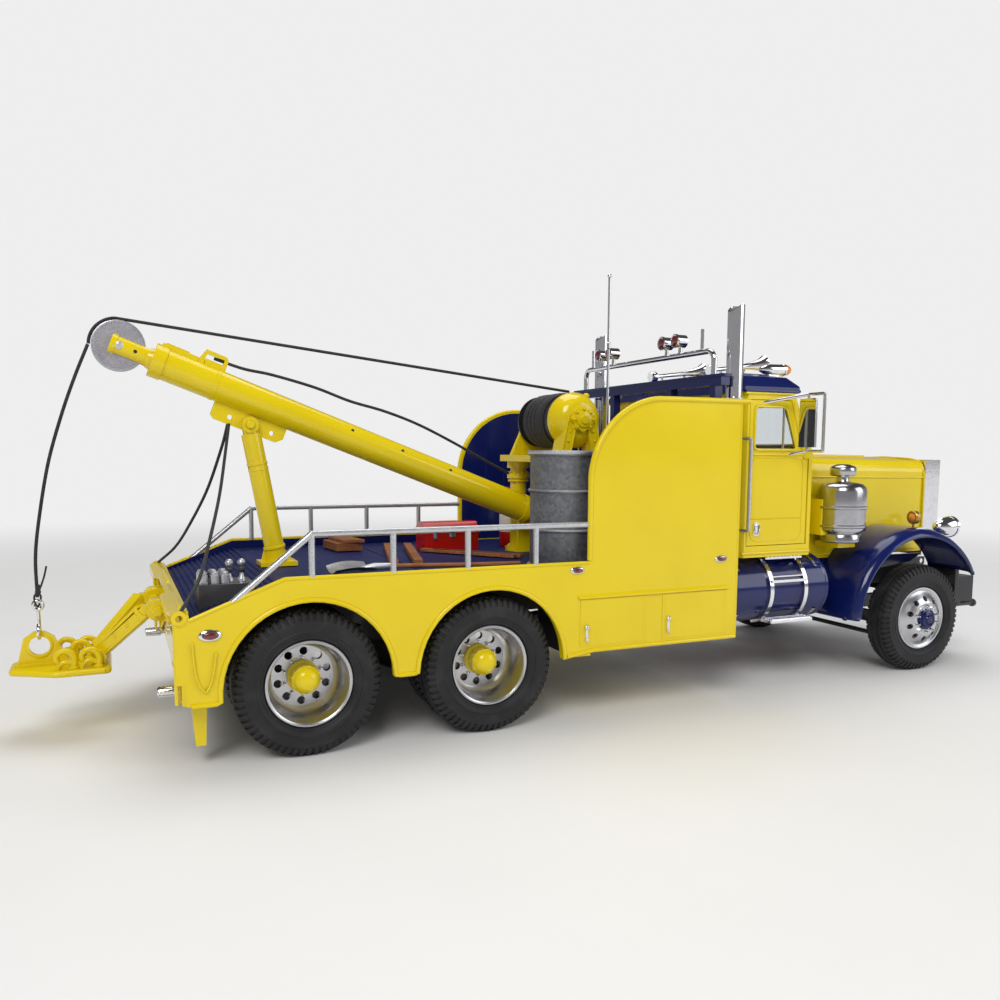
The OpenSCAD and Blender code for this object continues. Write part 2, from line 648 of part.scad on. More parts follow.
// Steel barrel with rolled rings, standing on the deck
module barrel() on_truck() color("#9a9da0") translate([89.4, -37.6, deck_z]) rotate_extrude()
    polygon([[0, 0], [12.3, 0], [12.3, 1.2], [11.8, 1.2], [11.8, 12.2], [12.3, 12.8], [11.8, 13.4],
        [11.8, 25], [12.3, 25.6], [11.8, 26.2], [11.8, 37], [12.3, 37], [12.3, 38.4], [11.5, 38.4],
        [11.5, 37.4], [0, 37.4]]);

module tool_chest() on_truck() color("#c2201a") {
    block([60, 20, deck_z], [82, 31, deck_z + 7]);
    block([60.6, 20.6, deck_z + 7], [81.4, 30.4, deck_z + 9]);
    rod([68, 25.5, deck_z + 9], [68, 25.5, deck_z + 10.6], 0.5);
    rod([74, 25.5, deck_z + 9], [74, 25.5, deck_z + 10.6], 0.5);
    rod([67.5, 25.5, deck_z + 10.6], [74.5, 25.5, deck_z + 10.6], 0.6);
}

// Height of the deck's slope at x
function slope_z(x) = deck_z + (x - slope_x) * (deck_z - tail_top + 1) / (slope_x + tail_x - skin);

// Wedge with a level top on the slope, with a valve block and two ball levers
module control_unit() on_truck() color("#8f9296") {
    top = deck_z + 1;
    side_plate(-43, -30) polygon([[-28, slope_z(-28)], [-13, slope_z(-13)], [-13, top], [-28, top]]);
    block([-27, -41, top], [-21, -32, top + 1.6]);
    translate([-24, -36.5, top + 1.6]) cylinder(r = 1.6, h = 1.2);
    for (x = [-19, -15.6]) translate([x, -37, top]) {
        cylinder(r = 0.5, h = 3, $fn = 24);
        translate([0, 0, 3.4]) sphere(r = 1.1, $fn = 32);
    }
}

// Drum with its wound rope, between the bearing plate and the gear case
module winch_drum() on_truck() color("#1a1a1c") {
    cross_bar(drum_x, drum_z, wound_d / 2, drum_y0 + 1, drum_y1);
    cross_bar(drum_x, drum_z, wound_d / 2 + 1.4, drum_y0, drum_y0 + 1);
    cross_bar(drum_x, drum_z, wound_d / 2 + 1.4, drum_y1, drum_y1 + 1);
    cross_bar(drum_x, drum_z, 1.8, drum_y0 - 3.5, drum_y1 + 3.6);
}

// ---------------------------------------------------------------- boom

// Frame along the boom: X runs back from the foot pin, Z stands off the top of the boom
module along_boom() translate([foot_x, 0, foot_z]) rotate([0, boom_rise, 0]) mirror([1, 0, 0]) children();

module boom() on_truck() color("#f4d800") along_boom() difference() {
    r = boom_d / 2;
    union() {
        // Outer tube and the thinner nose tube, as one turned shape
        rotate([0, 90, 0]) rotate_extrude() polygon([[0, 4], [r, 4], [r, boom_len], [nose_d / 2 + 0.6, boom_len],
            [nose_d / 2, boom_len + 2], [nose_d / 2, nose_len], [0, nose_len]]);
        block([-2.6, -r + 1, -2.6], [6, r - 1, 2.6]);
        cross_bar(0, 0, 2.9, -r + 0.4, r - 0.4);
        // Flat strip on the top near the outer end
        block([boom_len - 12, -2, r - 1], [boom_len - 1, 2, r + 1]);
        // Slotted lug on the top
        side_plate(-lug_t / 2, lug_t / 2) polygon([[lug_s - 4.4, r - 1.4], [lug_s + 5, r - 1.4],
            [lug_s + 3, r + 4.4], [lug_s - 3.6, r + 4.4], [lug_s - 4.4, r + 3.4]]);
        // Gusset under the boom
        side_plate(-0.9, 0.9) polygon([[gusset_s - 11.6, -r + 1], [gusset_s + 12.4, -r + 1],
            [gusset_s + 12.4, -gusset_h - 1.4], [gusset_s + 11, -gusset_h - 2.4],
            [gusset_s - 9.6, -gusset_h - 2.4], [gusset_s - 11.6, -gusset_h - 0.6]]);
    }
    cross_bar(0, 0, 1.5 + run, -boom_d, boom_d);
    // Slot for the sheave and the hole for its pin
    block([sheave_s - sheave_d / 2 - 1, -sheave_w / 2 - seam, -boom_d],
        [nose_len + 1, sheave_w / 2 + seam, boom_d]);
    cross_bar(sheave_s, 0, 1 + run, -nose_d, nose_d);
    // Slot of the lug and the gusset's holes
    side_plate(-lug_t, lug_t) polygon([[lug_s - 3.2, r + 1.6], [lug_s + 2.6, r + 1.6],
        [lug_s + 2.2, r + 3.2], [lug_s - 3.2, r + 3.2]]);
    for (x = [-7.5, 6.5]) cross_bar(gusset_s + x, -gusset_h, 0.8, -3, 3, 24);
    cross_bar(gusset_s, -gusset_h, 1 + run, -3, 3);
}

// Grooved disc that turns on its own pin in the fork of the boom
module sheave() on_truck() color("#b9bbc0") translate([sheave_x, 0, sheave_z]) rotate([90, 0, 0]) {
    rotate_extrude() polygon([[0, -sheave_w / 2], [sheave_d / 2, -sheave_w / 2], [sheave_d / 2 - 0.6, 0],
        [sheave_d / 2, sheave_w / 2], [0, sheave_w / 2]]);
    cylinder(r = 1, h = nose_d - 0.4, center = true);
}

// Tube from the boom's gusset down to a flange foot on the deck, with a fork round the gusset
module support_leg() on_truck() color("#f4d800") {
    foot_top = deck_z + rest_gap + 1.4;
    lean = atan((leg_foot_x - leg_top_x) / (leg_top_z - foot_top));
    head_r = 2.6;
    translate([leg_top_x, 0, leg_top_z]) {
        difference() {
            rotate([0, -lean, 0]) union() {
                translate([0, 0, -(leg_top_z - foot_top) / cos(lean)])
                    cylinder(d = leg_d, h = (leg_top_z - foot_top) / cos(lean) - 3);
                translate([0, 0, -4]) cylinder(r = head_r, h = 4);
                cross_bar(0, 0, head_r, -leg_d / 2, leg_d / 2);
            }
            rotate([0, -lean, 0]) block([-5, -0.9 - seam, -14], [5, 0.9 + seam, 4]);
        }
        cross_bar(0, 0, 1, -leg_d / 2 - 0.4, leg_d / 2 + 0.4);
    }
    block([leg_foot_x - 6, -5, deck_z + rest_gap], [leg_foot_x + 6, 5, foot_top]);
}

// ---------------------------------------------------------------- tow bar

// Two arms that meet at the tow plate, with chain hooks
module tow_bar() on_truck() color("#f4d800") {
    difference() {
        union() {
            both() {
                cross_bar(pivot_x, pivot_z, 2.9, boss_y - 2.1, boss_y + 2.1);
                hull() {
                    block([pivot_x - 4, boss_y - 1.8, pivot_z - 1.8], [pivot_x - 2, boss_y + 1.8, pivot_z + 1.4]);
                    block([-56, 2.4, plate_z + 1], [-54, 6, plate_z + 4]);
                }
            }
            cross_bar(-54, plate_z + 2.6, 1.9, -8, 8);
            // Five-sided tow plate
            translate([0, 0, plate_z - plate_t]) linear_extrude(plate_t)
                polygon([[-52, -12], [-52, 12], [-66, 12], [plate_x, 5], [plate_x, -5], [-66, -12]]);
            block([-56, -8, plate_z - 0.2], [-52.4, 8, plate_z + 1.6]);
            // Upright ear plate
            side_plate(-0.7, 0.7) polygon([[-77, plate_z - 1], [-62, plate_z - 1], [-66.4, plate_z + 8.6],
                [-69, plate_z + 10.4], [-72, plate_z + 10.4], [-74.8, plate_z + 8.4]]);
            // Chain hooks
            for (y = [-9, 9], x = [-56.5, -63]) translate([x, y, plate_z - 0.2]) rotate([90, 0, 0])
                rotate_extrude(angle = 180) translate([2.4, 0]) circle(r = 0.8, $fn = 16);
        }
        both() cross_bar(pivot_x, pivot_z, 1.2 + run, boss_y - 4, boss_y + 4);
        // Hole of the ear
        cross_bar(ear_x, plate_z + 6, ear_hole_r, -3, 3);
    }
}

hook_r = 2.1;
hook_wire = 0.55;
hook_z = plate_z + 6 + ear_hole_r + hook_r - hook_wire - 0.1;
hook_eye_z = hook_z + 8;

// Hook through the ear, with an eye at the top for the rope's loop
module tow_hook() on_truck() color("silver") translate([ear_x, 0, hook_z]) {
    rotate([90, 0, 90]) rotate_extrude(angle = -250) translate([hook_r, 0]) circle(r = hook_wire, $fn = 16);
    rod([0, hook_r, 0], [0, 0.3, 6.9], hook_wire);
    translate([0, 0, hook_eye_z - hook_z]) rotate([90, 0, 0]) rotate_extrude()
        translate([1.3, 0]) circle(r = hook_wire, $fn = 16);
}

// ---------------------------------------------------------------- ropes

// Points of a ring round p, square to direction d
function ring(p, d, r, n) = let (f = d / norm(d),
        s = abs(f[1]) < 0.9 ? cross(f, [0, 1, 0]) : cross(f, [1, 0, 0]),
        u = s / norm(s), w = cross(f, u))
    [for (k = [0 : n - 1]) p + r * (cos(360 * k / n) * u + sin(360 * k / n) * w)];

// Tube with rope_sides sides along a list of points, as one solid
rope_sides = 8;
module rope(pts) {
    n = rope_sides;
    m = len(pts);
    rings = [for (i = [0 : m - 1]) each ring(pts[i],
        pts[min(i + 1, m - 1)] - pts[max(i - 1, 0)], rope_d / 2, n)];
    walls = [for (i = [0 : m - 2], k = [0 : n - 1])
        [i * n + k, (i + 1) * n + k, (i + 1) * n + (k + 1) % n, i * n + (k + 1) % n]];
    caps = [[for (k = [0 : n - 1]) k], [for (k = [n - 1 : -1 : 0]) (m - 1) * n + k]];
    polyhedron(points = rings, faces = concat(walls, caps), convexity = 4);
}

// Point at share t of a curve through the list, smooth at each inner point
function on_curve(pts, i, t) = let (a = pts[max(i - 1, 0)], b = pts[i], c = pts[i + 1],
        d = pts[min(i + 2, len(pts) - 1)])
    0.5 * ((2 * b) + (c - a) * t + (2 * a - 5 * b + 4 * c - d) * t * t + (3 * b - a - 3 * c + d) * t * t * t);
function smooth(pts, steps) = concat([for (i = [0 : len(pts) - 2], k = [0 : steps - 1])
    on_curve(pts, i, k / steps)], [pts[len(pts) - 1]]);

hang_pts = [[-53.9, 0, 117.8], [-58, 0, 107.5], [-62, 0, 96], [-66, 0, 82], [-69, 0, 66], [-70.5, 0, 54],
    [-70.5, 0, hook_eye_z + 2.2]];
lug_pts = [[-13.1, 0, 113], [-8.6, 0, 112.4], [0.5, 0, 110.8], [14.4, 0, 107.2], [26.2, 0, 103.1],
    [38.5, 0, 100], [51.3, 0, 95.8], [66, 0, 89.6], [80, 0, 83]];
tie_pts = [[-13.8, 1.6, 94.6], [-15.4, 6, 87], [-19, 18, 73], [-23.6, 32, 60.6], [-28, 45, 51], [-32.4, 53.4, 46.4]];
line_start = [92, -9.4, 108.6];
line_top = [sheave_x + 1, 0, sheave_z + sheave_d / 2 + rope_d / 2 + rest_gap / 2];

// Taut rope from the drum's side over the sheave
module winch_line() on_truck() color("#1a1a1c") rod(line_start, line_top, rope_d / 2);
module hanging_line() on_truck() color("#1a1a1c") rope(smooth(hang_pts, 3));
module boom_line() on_truck() color("#1a1a1c") rope(smooth(lug_pts, 3));
module tie_lines() on_truck() color("#1a1a1c") both() rope(smooth(tie_pts, 2));

// ---------------------------------------------------------------- front wheels and steering

// Knuckle on the right side: king pin in a fork, spindle outwards, arm to the tie rod behind
module knuckle_parts() translate([front_axle_x, 0, 0]) mirror([0, 1, 0]) {
    for (z = [axle_z + 2.2, axle_z - 3.8]) {
        translate([0, king_y, z]) cylinder(r = 2.4, h = 1.6);
        block([-2.4, king_y, z], [2.4, king_y + 4.4, z + 1.6]);
    }
    block([-2.4, king_y + 3, axle_z - 3.8], [2.4, king_y + 4.4, axle_z + 3.8]);
    translate([0, king_y, axle_z - 3.8]) cylinder(r = king_r, h = 7.6);
    cross_bar(0, axle_z, spindle_r, king_y + 4, front_tyre_y + 5.6);
    block([-arm_back, king_y - 1, axle_z - 5.2], [2, king_y + 1, axle_z - 3.8]);
    translate([-arm_back, king_y, axle_z - 5.2]) cylinder(r = 1.5, h = 1.4);
    translate([-arm_back, king_y, tie_z - 1.4]) cylinder(r = 0.7, h = axle_z - 5 - tie_z + 1.4);
}

module knuckle_right() on_truck() color("#1c1f26") knuckle_parts();
module knuckle_left() on_truck() color("#1c1f26") mirror([0, 1, 0]) knuckle_parts();

// Rod under the two steering arms, with an eye on each arm's pin
module tie_rod() on_truck() color("#1c1f26") difference() {
    union() {
        cross_bar(front_axle_x - arm_back, tie_z, 0.9, -king_y, king_y);
        both() translate([front_axle_x - arm_back, king_y, tie_z - 1.3]) cylinder(r = 1.7, h = 2.6);
    }
    both() translate([front_axle_x - arm_back, king_y, tie_z - 3]) cylinder(r = 0.7 + 2 * run, h = 6);
}

// ---------------------------------------------------------------- wheels

// Section of a tyre centred at distance y from the middle of the truck
module tyre_section(y) translate([0, y]) polygon([[rim_d / 2 + 0.05, -tyre_w / 2 + 1.4],
    [rim_d / 2 + 2.4, -tyre_w / 2 + 0.2], [tyre_d / 2 - 4.4, -tyre_w / 2], [tyre_d / 2 - 1.6, -tyre_w / 2 + 0.7],
    [tyre_d / 2, -tyre_w / 2 + 2], [tyre_d / 2, tyre_w / 2 - 2], [tyre_d / 2 - 1.6, tyre_w / 2 - 0.7],
    [tyre_d / 2 - 4.4, tyre_w / 2], [rim_d / 2 + 2.4, tyre_w / 2 - 0.2], [rim_d / 2 + 0.05, tyre_w / 2 - 1.4]]);

module twin_tyres(x) wheel_turn(x) {
    tyre_section(outer_y);
    tyre_section(inner_y);
}

// Two deep rims back to back with the hub between, bored for the spindle
module twin_rims(x) wheel_turn(x) {
    r = rim_d / 2;
    polygon([[spindle_r + run, twin_mid], [spindle_r + run, twin_mid + hub_len - 1.4],
        [0, twin_mid + hub_len - 1.4], [0, twin_mid + hub_len], [hub_r - 1.4, twin_mid + hub_len - 0.3],
        [hub_r, twin_mid + hub_len - 1.8], [hub_r, twin_mid + rim_wall], [disc_r, twin_mid + rim_wall],
        [r - rim_wall, outer_y - rim_w / 2 + 0.6], [r - rim_wall, outer_y + rim_w / 2],
        [r, outer_y + rim_w / 2], [r, outer_y - rim_w / 2 + 0.2], [disc_r + 0.5, twin_mid],
        [r, inner_y + rim_w / 2 - 0.2], [r, inner_y - rim_w / 2], [r - rim_wall, inner_y - rim_w / 2],
        [r - rim_wall, inner_y + rim_w / 2 - 0.6], [disc_r, twin_mid - rim_wall],
        [spindle_r + run, twin_mid - rim_wall]]);
}

module front_tyre() wheel_turn(front_axle_x) tyre_section(front_tyre_y);

// Rim with its disc bulging outwards, bored for the spindle
module front_rim() wheel_turn(front_axle_x) {
    r = rim_d / 2;
    y = front_tyre_y;
    flange = y + rim_w / 2;
    polygon([[spindle_r + run, y - 0.6], [spindle_r + run, y + 5.9], [0, y + 5.9], [0, y + 8.8],
        [2.8, y + 8.5], [4.2, y + 7.2], [4.2, y + 6.6], [8.6, y + 6.6], [r - rim_wall, flange - 0.1],
        [r, flange], [r, y - rim_w / 2], [r - rim_wall, y - rim_w / 2], [r - rim_wall, flange - 1.3],
        [8.4, y + 5.6], [5, y + 5.6], [5, y - 0.6]]);
}

module front_tyre_right() on_truck() color("#1a1a1c") front_tyre();
module front_tyre_left() on_truck() color("#1a1a1c") mirror([0, 1, 0]) front_tyre();
module mid_tyres_right() on_truck() color("#1a1a1c") twin_tyres(tandem_gap);
module mid_tyres_left() on_truck() color("#1a1a1c") mirror([0, 1, 0]) twin_tyres(tandem_gap);
module rear_tyres_right() on_truck() color("#1a1a1c") twin_tyres(0);
module rear_tyres_left() on_truck() color("#1a1a1c") mirror([0, 1, 0]) twin_tyres(0);
module front_rim_right() on_truck() color("silver") front_rim();
module front_rim_left() on_truck() color("silver") mirror([0, 1, 0]) front_rim();
module mid_rims_right() on_truck() color("silver") twin_rims(tandem_gap);
module mid_rims_left() on_truck() color("silver") mirror([0, 1, 0]) twin_rims(tandem_gap);
module rear_rims_right() on_truck() color("silver") twin_rims(0);
module rear_rims_left() on_truck() color("silver") mirror([0, 1, 0]) twin_rims(0);

// ---------------------------------------------------------------- hood

// Cross section of the hood at x, as a thin slice, inside it by t
module hood_slice(x, half, top, t) translate([x, 0, 0]) rotate([90, 0, 90]) linear_extrude(hood_end) {
    r = 5;
    polygon(concat([[-half + t, 44 - 10 * t], [half - t, 44 - 10 * t]],
        [for (a = [0 : 15 : 90]) [half - r + (r - t) * cos(a), top - r - 1 + (r - t) * sin(a)]],
        [[0, top - t]],
        [for (a = [90 : 15 : 180]) [-half + r + (r - t) * cos(a), top - r - 1 + (r - t) * sin(a)]]));
}

module hood() on_truck() color("#f4d800") difference() {
    hull() {
        hood_slice(hood_back, nose_half, hood_top + 0.6, 0);
        hood_slice(hood_front - hood_end, shell_half, hood_top - 0.6, 0);
    }
    hull() {
        hood_slice(hood_back - hood_end, nose_half, hood_top + 0.6, hood_wall);
        hood_slice(hood_front + hood_end, shell_half, hood_top - 0.6, hood_wall);
    }
}

// Round fenders over the front wheels, with a lip and an apron in to the hood
module front_fenders() on_truck() color("#16206e") both() {
    in_y = 26.6;
    difference() {
        intersection() {
            translate([front_axle_x, fender_out, axle_z]) rotate([90, 0, 0])
                cylinder(r = fender_r, h = fender_out - in_y, $fn = 128);
            side_plate(0, fender_out + 1) polygon([[front_axle_x - 40, axle_z + 2], [front_axle_x - 20, axle_z + 2],
                [front_axle_x, axle_z + 8], [front_axle_x + 20, axle_z + 18], [front_axle_x + 40, axle_z + 18],
                [front_axle_x + 40, 80], [front_axle_x - 40, 80]]);
        }
        translate([front_axle_x, fender_out + 1, axle_z]) rotate([90, 0, 0])
            cylinder(r = fender_r - fender_wall, h = 60, $fn = 128);
    }
    // Inner wall under the hood's side
    side_plate(in_y - 1.2, in_y) intersection() {
        translate([front_axle_x, axle_z]) circle(r = fender_r, $fn = 128);
        polygon([[hood_back + 1, axle_z + 12], [front_axle_x + 26, axle_z + 20],
            [front_axle_x + 26, 43.6], [hood_back + 1, 43.6]]);
    }
}

// Upright shell round the grille, with the lugs and pins of the hood's hinge
module radiator_shell() on_truck() color("silver") {
    difference() {
        block([hood_front + seam, -22.4, 42], [shell_front, 22.4, 83.6]);
        block([shell_front - 1.6, -19.6, 44.8], [shell_front + 1, 19.6, 80.6]);
    }
    both() {
        side_plate(frame_half - 4.8, frame_half - 2.8) polygon([[tilt_x - 3, 42], [tilt_x - 1.6, tilt_z - 1],
            [tilt_x + 1, tilt_z - 1], [shell_front, 42]]);
        cross_bar(tilt_x, tilt_z, 1.7, frame_half - 4.8, frame_half - 2.8);
        cross_bar(tilt_x, tilt_z, 1, frame_half - 4.8, frame_half - 1.2);
    }
}

// Bullet lamps on short stalks at the front of the fenders
module headlights() on_truck() color("silver") both() translate([271, 36, 55.6]) {
    rotate([0, 90, 0]) rotate_extrude() polygon([[0, -4], [3, -2], [4.2, 2], [4.2, 6], [0, 6]]);
    rod([0, 0, -4], [0, 0, -9], 1);
}

// ---------------------------------------------------------------- doors and mirrors

// Door on the left side, with its window, a barrel edge and a pin at each end of it
module door_parts() {
    difference() {
        side_plate(cab_half - cab_wall, cab_half) polygon(door_outline(0));
        side_plate(cab_half - 2 * cab_wall, cab_half + 1) polygon(door_window());
    }
    translate([hinge_x, hinge_y, door_z0]) cylinder(r = cab_wall / 2, h = hinge_top - door_z0, $fn = 24);
    translate([hinge_x, hinge_y, door_z0 - 1.4]) cylinder(r = pin_r, h = hinge_top - door_z0 + 2.8, $fn = 24);
}

module door_right() on_truck() color("#f4d800") mirror([0, 1, 0]) door_parts();
module door_left() on_truck() color("#f4d800") door_parts();

mirror_x = door_back + 21.2;
mirror_y = cab_half + 5.7;
mirror_z0 = 88.4;
mirror_z1 = 105.8;

// Tall mirror in a bent tube frame on two arms from the door
module mirror_parts() {
    tube = 0.55;
    out = mirror_y + 7.6;
    block([mirror_x - 0.5, mirror_y - 3.9, mirror_z0], [mirror_x + 0.5, mirror_y + 3.9, mirror_z1]);
    pipe([[mirror_x, mirror_y, mirror_z1 - 0.4], [mirror_x, mirror_y, mirror_z1 + 1.4],
        [mirror_x, out, mirror_z1 + 1.4], [mirror_x, out, mirror_z0 - 1.4],
        [mirror_x, mirror_y, mirror_z0 - 1.4], [mirror_x, mirror_y, mirror_z0 + 0.4]], tube);
    difference() {
        union() {
            rod([hinge_x - 23.5, cab_half - 1.5, door_z1 - 1.4], [mirror_x, mirror_y, mirror_z1 + 1.4], tube);
            rod([hinge_x - 9.8, cab_half - 1.5, belt_z - 1.8], [mirror_x, mirror_y, mirror_z0 - 1.4], tube);
        }
        block([hinge_x - 30, cab_half - 4, belt_z - 9], [hinge_x + 2, cab_half, door_z1 + 4]);
    }
}

module mirror_right() on_truck() color("silver") mirror([0, 1, 0]) mirror_parts();
module mirror_left() on_truck() color("silver") mirror_parts();

frame_rails();
front_axle();
leaf_springs();
drive_axles();
engine();
fuel_tanks();
tank_steps();
bumper();
cab_shell();
cab_roof();
cab_interior();
cab_glass();
air_cleaners();
exhaust_stacks();
headache_rack();
light_bar();
antenna();
hand_rails();
bed_deck();
bed_side_right();
bed_side_left();
tail_plate();
winch_frame();
winch_gearbox();
barrel();
tool_chest();
control_unit();
winch_drum();
boom();
sheave();
support_leg();
tow_bar();
tow_hook();
winch_line();
hanging_line();
boom_line();
tie_lines();
knuckle_right();
knuckle_left();
tie_rod();
hood();
front_fenders();
radiator_shell();
headlights();
front_tyre_right();
front_tyre_left();
mid_tyres_right();
mid_tyres_left();
rear_tyres_right();
rear_tyres_left();
front_rim_right();
front_rim_left();
mid_rims_right();
mid_rims_left();
rear_rims_right();
rear_rims_left();
door_right();
door_left();
mirror_right();
mirror_left();
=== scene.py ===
"""Looks of a built plastic kit of a wrecker truck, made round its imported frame.

Lengths in the pieces are millimetres from the rearmost axle and the floor, +X forward, +Y left, +Z up.
at() turns them into the metres of the frame.
"""

import json
import math

import bmesh
import bpy
import numpy as np
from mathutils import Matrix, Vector
from mathutils.geometry import tessellate_polygon


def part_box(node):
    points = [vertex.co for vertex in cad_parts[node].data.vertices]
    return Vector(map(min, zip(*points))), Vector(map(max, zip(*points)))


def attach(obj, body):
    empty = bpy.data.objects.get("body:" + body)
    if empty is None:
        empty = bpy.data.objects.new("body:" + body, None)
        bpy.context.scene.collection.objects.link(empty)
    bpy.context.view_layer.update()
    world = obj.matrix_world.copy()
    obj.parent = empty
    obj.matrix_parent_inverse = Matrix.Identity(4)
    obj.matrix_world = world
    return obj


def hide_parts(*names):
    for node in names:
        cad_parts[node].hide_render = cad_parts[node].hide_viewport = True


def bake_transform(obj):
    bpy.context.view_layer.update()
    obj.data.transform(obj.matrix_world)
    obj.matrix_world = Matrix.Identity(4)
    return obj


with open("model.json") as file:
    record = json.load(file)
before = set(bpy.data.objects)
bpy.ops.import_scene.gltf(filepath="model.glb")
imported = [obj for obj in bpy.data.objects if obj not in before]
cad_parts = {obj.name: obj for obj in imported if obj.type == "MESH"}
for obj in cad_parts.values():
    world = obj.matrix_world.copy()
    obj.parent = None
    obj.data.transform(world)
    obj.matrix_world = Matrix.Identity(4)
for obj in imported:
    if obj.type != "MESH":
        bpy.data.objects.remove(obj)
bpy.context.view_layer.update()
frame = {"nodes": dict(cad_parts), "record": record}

MM = 0.001
rear_low, rear_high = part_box("rear_tyres_right")
AXLE_X = (rear_low.x + rear_high.x) / 2 / MM
TYRE_R = (rear_high.z - rear_low.z) / 2 / MM
AXLE_Z = TYRE_R
MID_X = 55.4
FRONT_X = 244.6
# Where things stand, as X and Y or X, Y and Z
COLUMN_X = 95.4
TORPEDO = (172.6, -33.5, 117.1)
BOTTLE = (98, 26, 0)
STACK = (151.6, -45.4)
WHIP = (106, -36)
BARREL = (89.4, -37.6)
FULL = 2 * math.pi
AHEAD, LEFT, RIGHT, UP = (1, 0, 0), (0, 1, 0), (0, -1, 0), (0, 0, 1)


def at(points):
    """Millimetres from the rearmost axle as metres in the frame."""
    return (np.asarray(points, float) + (AXLE_X, 0, 0)) * MM


# ---------------------------------------------------------------- surfaces


def mix(a, b, t):
    """Straight blend from a to b."""
    return a + (b - a) * t


def unit(v):
    """Vectors scaled to length one."""
    return v / np.maximum(np.linalg.norm(v, axis=-1, keepdims=True), 1e-9)


def points(x, y, z):
    """Grid of points from three coordinate arrays that broadcast together."""
    return np.stack(np.broadcast_arrays(x, y, z), -1).astype(float)


def curve(knots, n):
    """n points on a smooth line through the knots: Catmull-Rom cubics, evenly spread by knot number."""
    k = np.asarray(knots, float)
    k = np.concatenate([[2 * k[0] - k[1]], k, [2 * k[-1] - k[-2]]])
    s = np.linspace(0, len(k) - 3 - 1e-9, n)
    i = s.astype(int)
    t = (s - i)[:, None]
    a, b, c, d = k[i], k[i + 1], k[i + 2], k[i + 3]
    return 0.5 * (2 * b + (c - a) * t + (2 * a - 5 * b + 4 * c - d) * t**2 + (3 * b - a - 3 * c + d) * t**3)


def rounded(corners, radius, n=5):
    """Closed outline whose corners are replaced by arcs, drawn as quadratic curves between the tangent points."""
    c = np.asarray(corners, float)
    r = np.broadcast_to(np.asarray(radius, float), (len(c),))[:, None]
    before, after = np.roll(c, 1, 0) - c, np.roll(c, -1, 0) - c
    reach = np.minimum(r, 0.49 * np.minimum(np.linalg.norm(before, axis=1), np.linalg.norm(after,
        axis=1))[:, None])
    a, b = c + unit(before) * reach, c + unit(after) * reach
    t = np.linspace(0, 1, n)[None, :, None]
    return ((1 - t) ** 2 * a[:, None] + 2 * t * (1 - t) * c[:, None] + t**2 * b[:, None]).reshape(-1, 2)


def rect(x0, y0, x1, y1):
    """Corners of a rectangle in two dimensions."""
    return [(x0, y0), (x1, y0), (x1, y1), (x0, y1)]


def ring_of(r, n=48, x=0.0, z=0.0, start=0.0, end=FULL):
    """Points of a circle or an arc in two dimensions; a full circle leaves out its last point."""
    a = np.linspace(start, end, n, endpoint=abs(end - start) < FULL - 1e-6)
    return np.stack([x + r * np.cos(a), z + r * np.sin(a)], -1)


def placed(name, data):
    """A new object with this data, in the scene."""
    made = bpy.data.objects.new(name, data)
    bpy.context.scene.collection.objects.link(made)
    return made


